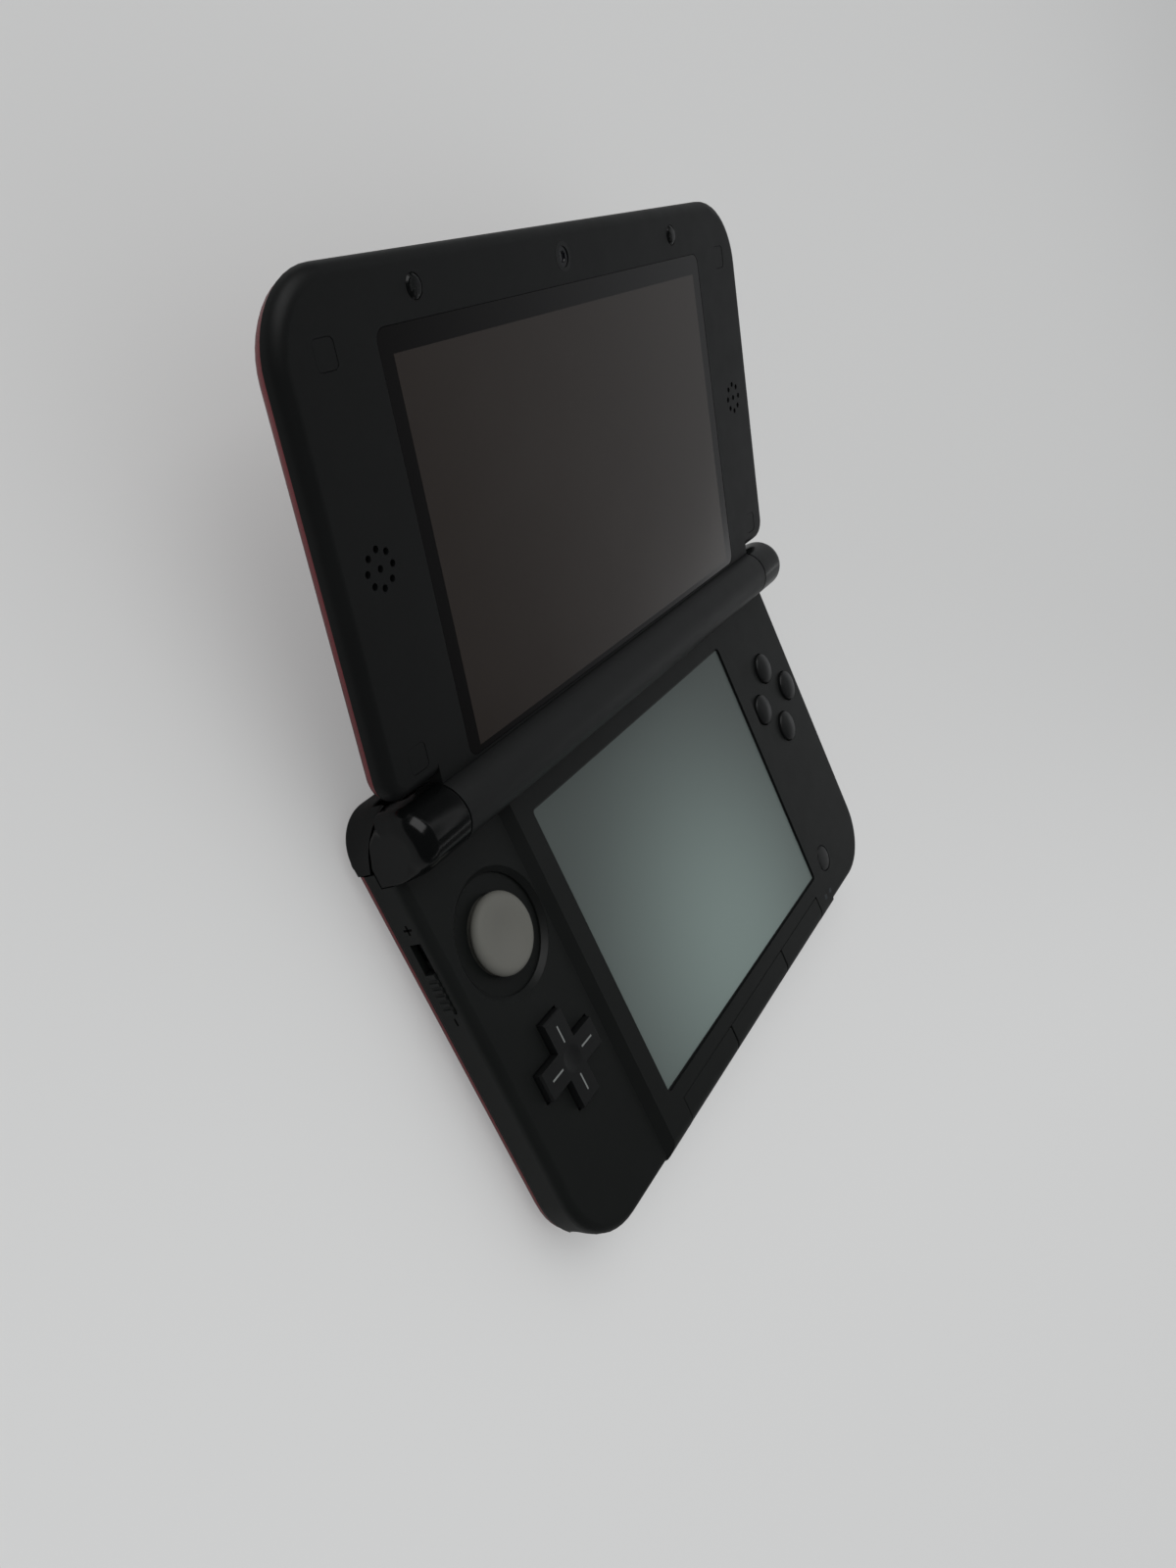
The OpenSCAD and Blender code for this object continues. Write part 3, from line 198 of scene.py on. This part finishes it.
# the room: pale to the eye and for soft light, while black plastic mirrors a
# dim one that is brighter far to the right
room_light, room_seen, mirrored_low, mirrored_high = 0.75, 0.61, 0.036, 0.41
world = bpy.data.worlds.new("studio")
bpy.context.scene.world = world
world.use_nodes = True
tree = world.node_tree
ray = add(tree, "ShaderNodeLightPath").outputs
toward = add(tree, "ShaderNodeTexCoord")
across = add(tree, "ShaderNodeSeparateXYZ", {"Vector": toward.outputs["Generated"]})
dim = add(
    tree,
    "ShaderNodeMapRange",
    {
        "Value": across.outputs["X"],
        "From Min": 0.66,
        "To Min": mirrored_low,
        "To Max": mirrored_high,
    },
    interpolation_type="SMOOTHSTEP",
)
unseen = add(
    tree,
    "ShaderNodeMix",
    {"Factor": ray["Is Glossy Ray"], 2: room_light, 3: dim.outputs["Result"]},
)
strength = add(
    tree, "ShaderNodeMix", {"Factor": ray["Is Camera Ray"], 2: unseen.outputs[0], 3: room_seen}
)
sky = tree.nodes["Background"]
sky.inputs["Color"].default_value = linear("#f4f6f8")
tree.links.new(strength.outputs[0], sky.inputs["Strength"])

# ---- Shells of the base -----------------------------------------------------
# Two injection-moulded ABS halves, screwed together: a spark-eroded black
# upper case with the raised platform, and a cover in metallic red lacquer.
bodies = {n: o["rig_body"] for n, o in nodes.items()}


def plastic(name, shade, dust, roughness, grain_mm, depth_mm, specular=0.5):
    """Moulded plastic: faint cloudy dust, uneven sheen and a fine grain."""
    clouds_per_m = 60  # patches of dust about 17 mm wide
    smears_per_m = 220  # finger marks about 5 mm wide
    material, tree, shader, place = new_material(name)
    cloud = add(
        tree, "ShaderNodeTexNoise", {"Vector": place, "Scale": clouds_per_m, "Detail": 4}
    )
    tone = add(
        tree,
        "ShaderNodeMix",
        {"Factor": cloud.outputs["Fac"], 6: linear(shade), 7: linear(dust)},
        data_type="RGBA",
    )
    smear = add(
        tree, "ShaderNodeTexNoise", {"Vector": place, "Scale": smears_per_m, "Detail": 6}
    )
    sheen = add(
        tree,
        "ShaderNodeMapRange",
        {"Value": smear.outputs["Fac"], "To Min": roughness - 0.05, "To Max": roughness + 0.05},
    )
    grain = add(
        tree,
        "ShaderNodeTexNoise",
        {"Vector": place, "Scale": 1000 / grain_mm, "Detail": 2, "Roughness": 0.6},
    )
    bump = add(
        tree,
        "ShaderNodeBump",
        {"Height": grain.outputs["Fac"], "Distance": depth_mm * MM, "Strength": 0.6},
    )
    tree.links.new(tone.outputs[2], shader.inputs["Base Color"])
    tree.links.new(sheen.outputs["Result"], shader.inputs["Roughness"])
    tree.links.new(bump.outputs["Normal"], shader.inputs["Normal"])
    shader.inputs["Specular IOR Level"].default_value = specular
    return material


def eased(node, material, width_mm=0.12, limit=34, steps=2, shape=None):
    """Stands for a CAD node: its own merged triangles or the given shape, with eased edges."""
    if not shape:
        shape = bmesh.new()
        shape.from_mesh(nodes[node].data)
        bmesh.ops.remove_doubles(shape, verts=shape.verts, dist=0.002 * MM)
        bmesh.ops.dissolve_limit(
            shape, angle_limit=math.radians(0.7), verts=shape.verts, edges=shape.edges
        )
    for face in shape.faces:
        face.smooth = True
        face.material_index = 0
    piece = make_object(node + "_skin", shape, material)
    piece.data.set_sharp_from_angle(angle=math.radians(limit))
    if width_mm:
        bevel = piece.modifiers.new("eased edges", "BEVEL")
        bevel.width = width_mm * MM
        bevel.segments = steps
        bevel.limit_method = "ANGLE"
        bevel.angle_limit = math.radians(limit)
        bevel.harden_normals = True
        bevel.miter_outer = "MITER_ARC"
    even = piece.modifiers.new("even normals", "WEIGHTED_NORMAL")
    even.mode = "FACE_AREA"
    even.weight = 50
    even.keep_sharp = True
    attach(piece, bodies[node])
    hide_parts(node)
    return piece


def dress(material, *names):
    """Puts a material on CAD nodes that keep their own mesh."""
    for name in names:
        mesh = nodes[name].data
        mesh.materials.clear()
        mesh.materials.append(material)


# spark-eroded black ABS: dead matte with a soft grey bloom at a low angle
black_abs = plastic("spark-eroded black ABS", "#0f1110", "#141615", 0.43, 0.35, 0.02, 0.3)
eased("upper_case", black_abs, 0.15)

# metallic lacquer: red flakes that glint under a smooth clear coat. A real
# flake is about 0.03 mm wide; it is drawn 0.2 mm wide, so that it shows.
flakes_per_m, drifts_per_m = 5000, 45
red_lacquer, tree, shader, place = new_material("metallic red lacquer")
flakes = add(tree, "ShaderNodeTexVoronoi", {"Vector": place, "Scale": flakes_per_m})
glint = add(
    tree,
    "ShaderNodeMapRange",
    {"Value": flakes.outputs["Distance"], "From Max": 0.7, "To Min": 0.26, "To Max": 0.42},
)
drift = add(tree, "ShaderNodeTexNoise", {"Vector": place, "Scale": drifts_per_m, "Detail": 3})
body = add(
    tree,
    "ShaderNodeMix",
    {"Factor": drift.outputs["Fac"], 6: linear("#6a0a14"), 7: linear("#831320")},
    data_type="RGBA",
)
tree.links.new(body.outputs[2], shader.inputs["Base Color"])
tree.links.new(glint.outputs["Result"], shader.inputs["Roughness"])
shader.inputs["Metallic"].default_value = 0.55
shader.inputs["Coat Weight"].default_value = 0.7
shader.inputs["Coat Roughness"].default_value = 0.08


def sprayed(node, up, width_mm):
    """A black moulding that is lacquered on its outside only: away from the direction up."""
    overspray = 0.02  # walls that stand upright still catch some lacquer
    piece = eased(node, red_lacquer, width_mm)
    piece.data.materials.append(black_abs)
    for face in piece.data.polygons:
        if face.normal.dot(up) > -overspray:
            face.material_index = 1


sprayed("bottom_cover", Vector((0, 0, 1)), 0.12)
sprayed("battery_cover", Vector((0, 0, 1)), 0.15)

# ---- Screws and feet -----------------------------------------------------------
# Zinc-plated cross-head screws sunk in the cover, turned steel pins in the
# hinge and the shoulder buttons, and four soft round feet glued to the cover.

# zinc plate: a bright grey metal, dulled in streaks about 0.3 mm wide
streaks_per_m = 3000
steel, tree, shader, place = new_material("zinc-plated steel")
brush = add(tree, "ShaderNodeTexNoise", {"Vector": place, "Scale": streaks_per_m, "Detail": 2})
dull = add(
    tree,
    "ShaderNodeMapRange",
    {"Value": brush.outputs["Fac"], "To Min": 0.28, "To Max": 0.45},
)
tree.links.new(dull.outputs["Result"], shader.inputs["Roughness"])
shader.inputs["Base Color"].default_value = linear("#a8aaad")
shader.inputs["Metallic"].default_value = 1
dress(steel, "battery_cover_screws", "case_screws", "hinge_pins", "shoulder_pins")
# moulded rubber: dark grey and without any shine
black_rubber = plastic("black rubber", "#161616", "#222221", 0.72, 0.4, 0.03, 0.3)
eased("rubber_feet", black_rubber, 0.08)

# ---- Hinge ends and barrel --------------------------------------------------------
# The end knuckles are polished black ABS, each a barrel that runs out to the
# side face in a domed end, on a block that bridges the shoulder button. The
# barrel between them is a fine matte moulding.

# polished ABS: deep black with clear highlights, dulled by smudges 6 mm wide
smudges_per_m = 160
gloss_black, tree, shader, place = new_material("polished black ABS")
smudge = add(tree, "ShaderNodeTexNoise", {"Vector": place, "Scale": smudges_per_m, "Detail": 5})
polish = add(
    tree,
    "ShaderNodeMapRange",
    {"Value": smudge.outputs["Fac"], "To Min": 0.12, "To Max": 0.24},
)
tree.links.new(polish.outputs["Result"], shader.inputs["Roughness"])
shader.inputs["Base Color"].default_value = linear("#070808")
shader.inputs["Specular IOR Level"].default_value = 0.35
joints = {j["name"]: j for j in frame["record"]["behaviour"]["joints"]}
axis = Vector(joints["lid_hinge"]["pos_m"])


def ease(start, end, value):
    """0 before the start and 1 past the end, with a smooth rise between."""
    t = min(max((value - start) / (end - start), 0), 1)
    return t * t * (3 - 2 * t)


def knuckle(side):
    """An end knuckle's surface. Its outline changes from the barrel's circle to the
    block's, which no operator does, so it is laid in rows from the barrel's seam
    out to the domed side face, one row for each turn about the hinge axis."""
    low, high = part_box(side + "_hinge_cover")
    seam, end = sorted((abs(low.x), abs(high.x)))
    radius, foot = high.z - axis.z, axis.z - low.z
    rise = 1.08 * MM  # the block's lower back slopes up over the shoulder button
    lean = foot - rise
    turn_step, blend_steps, dome_step = 4, 5, 9
    barrel, blend_start, blend_step = 3.9 * MM, 8.1 * MM, 0.24 * MM
    rim, dome_extra = 0.3, 3.2  # rounding of the side face: below, and more above

    def outline(turn):
        """Reach of the block from the axis; 0 degrees is to the back and 90 up."""
        c, s = math.cos(math.radians(turn)), math.sin(math.radians(turn))
        if s > -0.01:
            return radius
        faces = [radius / max(abs(c), 0.01), -foot / s, lean / max(c / 2 - s, 0.01)]
        return max(radius, min(faces))

    corners = (
        math.degrees(math.atan2(-foot, -radius)) + 360,
        math.degrees(math.atan2(-foot, -2 * rise)) + 360,
        math.degrees(math.atan2(radius / 2 - lean, radius)),
    )
    out = -1 if side == "left" else 1
    shape = bmesh.new()
    rows = []
    for turn in sorted({*range(-36, 324, turn_step), *corners}):
        block = outline(turn)
        upper = 1 - ease(160, 212, turn) + ease(284, 324, turn)
        dome = (rim + dome_extra * upper) * MM
        path = [
            (seam, radius - 0.2 * MM),
            (seam + 0.06 * MM, radius - 0.06 * MM),
            (seam + 0.2 * MM, radius),
            (seam + barrel, radius),
        ]
        for i in range(1, blend_steps + 1):
            reach = radius + (block - radius) * ease(0, blend_steps, i)
            path.append((end - (blend_start - blend_step * i), reach))
        for i in range(0, 91, dome_step):
            a = math.radians(i)
            path.append((end - dome * (1 - math.sin(a)), block - dome * (1 - math.cos(a))))
        c, s = math.cos(math.radians(turn)), math.sin(math.radians(turn))
        rows.append(
            [shape.verts.new((out * x, axis.y + r * c, axis.z + r * s)) for x, r in path]
        )
    for one, two in zip(rows, rows[1:] + rows[:1]):
        for i in range(len(one) - 1):
            shape.faces.new((one[i], one[i + 1], two[i + 1], two[i]))
    shape.faces.new([row[0] for row in rows])
    shape.faces.new([row[-1] for row in rows])
    bmesh.ops.recalc_face_normals(shape, faces=shape.faces)
    return shape


for side in ("left", "right"):
    eased(side + "_hinge_cover", gloss_black, 0, 34, shape=knuckle(side))
    eased(side + "_shoulder_button", gloss_black, 0.3, 34, 3)
# satin ABS: black with a broad soft streak of light along the barrel
satin_abs = plastic("satin black ABS", "#111212", "#161717", 0.4, 0.3, 0.015, 0.4)
eased("lid_barrel", satin_abs, 0.15)

# ---- Lower screen ------------------------------------------------------------------
# A touch film over a reflective liquid crystal panel, glued into the platform:
# switched off, it is a grey-green with a painted reflection, pale low down in
# the middle, inside a thin black mask.

# printed mask: a plain even black round the lit area
film_edge = plastic("black printed mask", "#141515", "#191a1a", 0.35, 0.5, 0.005)
dress(film_edge, "touch_panel", "lower_display")


def plate(name, low, high, material, corner=0.0, turn=None):
    """Flat plate between two corners, with rounded corners seen from above."""
    shape = bmesh.new()
    bmesh.ops.create_cube(shape, size=1)
    middle, size = (low + high) / 2, high - low
    bmesh.ops.scale(shape, verts=shape.verts, vec=size)
    if corner:
        upright = [e for e in shape.edges if abs((e.verts[0].co - e.verts[1].co).z) > size.z / 2]
        bmesh.ops.bevel(
            shape, geom=upright, offset=corner, affect="EDGES", segments=8, profile=0.5, material=-1
        )
    bmesh.ops.translate(shape, verts=shape.verts, vec=middle)
    if turn:
        bmesh.ops.transform(shape, matrix=turn, verts=shape.verts)
    for face in shape.faces:
        face.smooth = False
    return make_object(name, shape, material)


# touch film: a painted reflection, lightest low down in the middle and darker
# towards the hinge, stands for the light that the mirror layer behind the
# crystal gives back
touch_film, tree, shader, place = new_material("matte touch film")
painted_reflection_spot, painted_reflection_reach, painted_reflection_fade_reach = (0.001, -0.028, 0.0119), 0.002, 0.068
painted_reflection_distance = add(
    tree, "ShaderNodeVectorMath", {0: place, 1: painted_reflection_spot}, operation="DISTANCE"
)
# painted reflection: the film is lighter near the spot and darker out past its reach
tone = add(
    tree,
    "ShaderNodeMapRange",
    {"Value": painted_reflection_distance.outputs["Value"], "From Min": painted_reflection_fade_reach, "From Max": painted_reflection_reach},
    interpolation_type="SMOOTHSTEP",
)
film_with_painted_reflection = add(
    tree,
    "ShaderNodeMix",
    {"Factor": tone.outputs["Result"], 6: linear("#454b49"), 7: linear("#74817d")},
    data_type="RGBA",
)
tree.links.new(film_with_painted_reflection.outputs[2], shader.inputs["Base Color"])
shader.inputs["Roughness"].default_value = 0.28
shader.inputs["Specular IOR Level"].default_value = 0.4
low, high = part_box("touch_panel")
mask = Vector((2.35, 2.4, 0)) * MM
proud = Vector((0, 0, 0.02)) * MM
lit = plate(
    "lower_lit_area",
    Vector((low.x, low.y, high.z)) + mask - proud,
    high - mask + proud,
    touch_film,
)
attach(lit, "base")

# ---- Slide pad -----------------------------------------------------------------------
# One moulding in warm grey rubber over a hard core: a soft round rim and a
# dished top, on a neck, a skirt and a tongue that slides in the carriage.

# warm grey rubber: soft and even, with only a broad dull sheen
pad_rubber = plastic("warm grey rubber", "#595953", "#61605b", 0.62, 0.3, 0.03, 0.35)
low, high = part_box("slide_pad")
middle = (low + high) / 2
skirt, neck, shoulder, crown = 11, 4, 6.7, 6.0  # radii in mm, from below
rim_z, top_z, dish = 10.65, 12.12, 0.85  # heights in mm, and the dish's depth
under, over = 0.9, 1.6  # how far the rim rounds out below and above
half = [(0, 7.4), (skirt, 7.4), (skirt, 8.05), (neck, 8.05), (neck, 9.75), (shoulder, 9.75)]
for i in range(1, 7):
    a = math.radians(15 * i)
    half.append((shoulder + under * math.sin(a), rim_z - under * math.cos(a)))
for i in range(1, 13):
    a = math.radians(7.5 * i)
    half.append((crown + over * math.cos(a), rim_z + (top_z - rim_z) * math.sin(a)))
for i in range(11, -1, -1):
    hollow = dish * (0.5 + 0.5 * math.cos(math.pi * i / 12))
    half.append((crown * i / 12, top_z - hollow))
shape = bmesh.new()
line = [shape.verts.new((middle.x + r * MM, middle.y, z * MM)) for r, z in half]
edges = [shape.edges.new(pair) for pair in zip(line, line[1:])]
bmesh.ops.spin(
    shape,
    geom=line + edges,
    cent=(middle.x, middle.y, 0),
    axis=(0, 0, 1),
    angle=math.tau,
    steps=96,
    use_merge=True,
)
bmesh.ops.remove_doubles(shape, verts=shape.verts, dist=0.002 * MM)
tongue = bmesh.ops.create_cube(shape, size=4.8 * MM)["verts"]
bmesh.ops.translate(shape, verts=tongue, vec=(middle.x, middle.y, 8.1 * MM))
bmesh.ops.recalc_face_normals(shape, faces=shape.faces)
eased("slide_pad", pad_rubber, 0, 40, shape=shape)
# plain moulded ABS of the hidden carriers: dark grey and half matte
inner_abs = plastic("dark grey ABS", "#3c3e3f", "#434546", 0.5, 0.4, 0.02)
dress(
    inner_abs,
    "slide_pad_housing",
    "slide_pad_carriage",
    "game_card_slot",
    "headphone_socket",
    "charging_socket",
    "stylus_sleeve",
    "speakers",
)

# ---- Direction pad and round buttons ------------------------------------------------------
# Black moulded keys that rest on rubber mats, with a little more sheen than
# the deck. Each arm of the cross carries a short pale dash.

# fine satin ABS: black, a touch glossier than the deck from handling
key_abs = plastic("fine satin black ABS", "#0f1010", "#151616", 0.36, 0.5, 0.01, 0.45)
eased("dpad", key_abs, 0.25)
for name in ("right", "top", "left", "bottom"):
    eased(name + "_face_button", key_abs, 0.12)
eased("power_button", key_abs, 0.12)
for name in ("left", "middle", "right"):
    eased(name + "_function_button", black_abs, 0.15)
# silicone mats: milky grey and dull
grey_rubber = plastic("grey silicone rubber", "#6f7270", "#7a7d7b", 0.6, 0.5, 0.02)
dress(grey_rubber, "rubber_mats", "dpad_rocker")
# printed ink: a thin dull grey
pale_ink = plastic("pale grey ink", "#686b69", "#747775", 0.5, 0.5, 0.005)
low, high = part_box("dpad")
middle = (low + high) / 2
hub = Vector((middle.x, middle.y, 0))
dash_from, dash_to, dash_half = 3.4 * MM, 6.9 * MM, 0.18 * MM
sunk, proud = 0.1 * MM, 0.02 * MM
for i in range(4):
    dash = plate(
        "dpad_dash_%d" % i,
        Vector((dash_from, -dash_half, high.z - sunk)),
        Vector((dash_to, dash_half, high.z + proud)),
        pale_ink,
        turn=Matrix.Translation(hub) @ Matrix.Rotation(math.radians(90 * i), 4, "Z"),
    )
    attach(dash, "dpad")

# ---- Side controls ---------------------------------------------------------------------------
# Ridged sliders, the card flap and the stylus's end, all moulded in the black
# ABS of the case. A plus and a minus are printed beside the volume slider.
for name in ("volume_slider", "wireless_switch", "card_flap", "stylus", "depth_slider"):
    eased(name, black_abs, 0.06)
# black ink: darker and duller than the wall it is printed on
black_ink = plastic("black ink", "#030303", "#060606", 0.8, 0.5, 0.005, 0.1)
wall_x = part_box("upper_case")[0].x
mark_z, sunk, proud = 7.55, 0.1 * MM, 0.02 * MM
for name, y, parts in (
    ("plus_mark", 25.5, ((1.9, 0.42), (0.42, 1.9))),
    ("minus_mark", 7.2, ((1.5, 0.42),)),
):
    for i, (wide, tall) in enumerate(parts):
        mark = plate(
            "%s_%d" % (name, i),
            Vector((wall_x - proud, (y - wide / 2) * MM, (mark_z - tall / 2) * MM)),
            Vector((wall_x + sunk, (y + wide / 2) * MM, (mark_z + tall / 2) * MM)),
            black_ink,
        )
        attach(mark, "base")

# ---- Indicator lights and infrared window -----------------------------------------------------
# Two clear light guides of moulded acrylic, unlit, beside the function keys,
# and a dark red window of infrared-clear plastic in the back wall.

# both are smooth: dark, with sharp small highlights
light_guide = plastic("clear light guide", "#1d2123", "#25292b", 0.15, 1.0, 0.005)
dark_window = plastic("infrared-clear plastic", "#1b0709", "#22090c", 0.12, 1.0, 0.002)
dress(light_guide, "indicator_lights")
dress(dark_window, "infrared_window")

# ---- Inside ----------------------------------------------------------------------------------
# Main board, battery and card reader, mostly out of sight: a board screwed to
# the case's posts, a wrapped battery in its bay and a stamped steel reader.

# lacquered board: green and half glossy; battery case: pale, dull plastic
solder_mask = plastic("green solder mask", "#1d5233", "#23603c", 0.35, 0.8, 0.02)
battery_wrap = plastic("pale grey battery case", "#b9b9b4", "#c6c6c1", 0.5, 0.6, 0.01)
dress(solder_mask, "main_board")
dress(battery_wrap, "battery_pack")
dress(steel, "memory_card_reader")

# ---- Lid shells --------------------------------------------------------------------------------
# The black frame round the upper screen is satin ABS, and the cover outside
# it has the same lacquer as the bottom cover. Screws under caps join them.

# satin ABS of the lid: a shade darker and duller than the keys
frame_abs = plastic("satin plum-black ABS", "#0e0f0f", "#131414", 0.42, 0.3, 0.015, 0.21)
eased("lid_frame", frame_abs, 0.12)
up_lid = joints["depth_slide"]["axis"]
sprayed("lid_cover", Vector((0, -up_lid[2], up_lid[1])), 0.15)

# ---- Upper screen ------------------------------------------------------------------------------
# One sheet of toughened glass, glued into the frame: printed black round the
# edge, over the dark brown-grey of the switched-off panel.

# backed glass: a clear deep mirror, hazed in patches 25 mm wide
edge_glass, tree, shader, place = new_material("black-backed glass")
haze = add(tree, "ShaderNodeTexNoise", {"Vector": place, "Scale": 1000 / 25, "Detail": 5})
gloss = add(
    tree, "ShaderNodeMapRange", {"Value": haze.outputs["Fac"], "To Min": 0.05, "To Max": 0.16}
)
tree.links.new(gloss.outputs["Result"], shader.inputs["Roughness"])
shader.inputs["Base Color"].default_value = linear("#070606")
shader.inputs["Specular IOR Level"].default_value = 0.35
dress(edge_glass, "upper_window")

# the panel under the glass: a brown-grey that shows the glass's own sheen,
# dulled by wiped finger marks about 45 mm wide
wipes_per_m = 22
panel_glass, tree, shader, place = new_material("switched-off panel under glass")
haze = add(tree, "ShaderNodeTexNoise", {"Vector": place, "Scale": wipes_per_m, "Detail": 4})
gloss = add(
    tree, "ShaderNodeMapRange", {"Value": haze.outputs["Fac"], "To Min": 0.08, "To Max": 0.22}
)
panel = add(
    tree,
    "ShaderNodeMix",
    {"Factor": haze.outputs["Fac"], 6: linear("#211c19"), 7: linear("#2a2522")},
    data_type="RGBA",
)
tree.links.new(panel.outputs[2], shader.inputs["Base Color"])
tree.links.new(gloss.outputs["Result"], shader.inputs["Roughness"])

# the lit area's middle, up the lid from the hinge axis and out to the glass
screen_up, glass_out = 39.45, 1.45
lid_place = (
    Matrix.Translation(axis)
    @ Matrix.Rotation(math.atan2(up_lid[2], up_lid[1]), 4, "X")
    @ Matrix.Translation(Vector((0, screen_up, glass_out)) * MM)
)
lit_x, lit_y, lit_under, lit_over = 53.3, 32, -0.06, -0.035
lit = plate(
    "upper_lit_area",
    Vector((-lit_x, -lit_y, lit_under)) * MM,
    Vector((lit_x, lit_y, lit_over)) * MM,
    panel_glass,
    turn=lid_place,
)
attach(lit, "lid")
dress(inner_abs, "upper_display")

# ---- Cameras, bumpers and screw caps ----------------------------------------------------------------
# Small glass lenses, the inner one behind a polished ring, soft round bumpers
# and plastic caps pressed in over the lid's screws.

# coated glass: nearly black, with a clear sharp highlight
spots_per_m = 900
lens_glass, tree, shader, place = new_material("coated lens glass")
ring = add(tree, "ShaderNodeTexNoise", {"Vector": place, "Scale": spots_per_m, "Detail": 2})
clear = add(
    tree, "ShaderNodeMapRange", {"Value": ring.outputs["Fac"], "To Min": 0.03, "To Max": 0.08}
)
tree.links.new(clear.outputs["Result"], shader.inputs["Roughness"])
shader.inputs["Base Color"].default_value = linear("#08080b")
eased("inner_camera", lens_glass, 0)
camera_up_lid, ring_outer, ring_inner, proud = 40.5, 2.6, 1.8, 0.02
shape = bmesh.new()
bmesh.ops.create_circle(shape, radius=ring_outer * MM, segments=64)
bmesh.ops.create_circle(shape, radius=ring_inner * MM, segments=64)
bmesh.ops.bridge_loops(shape, edges=shape.edges)
bmesh.ops.translate(shape, verts=shape.verts, vec=Vector((0, camera_up_lid, proud)) * MM)
bmesh.ops.transform(shape, matrix=lid_place, verts=shape.verts)
bmesh.ops.recalc_face_normals(shape, faces=shape.faces)
ring = make_object("camera_ring", shape, gloss_black)
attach(ring, "lid")
eased("outer_cameras", lens_glass, 0)
eased("lid_bumpers", gloss_black, 0)
eased("lid_screw_caps", frame_abs, 0.06)
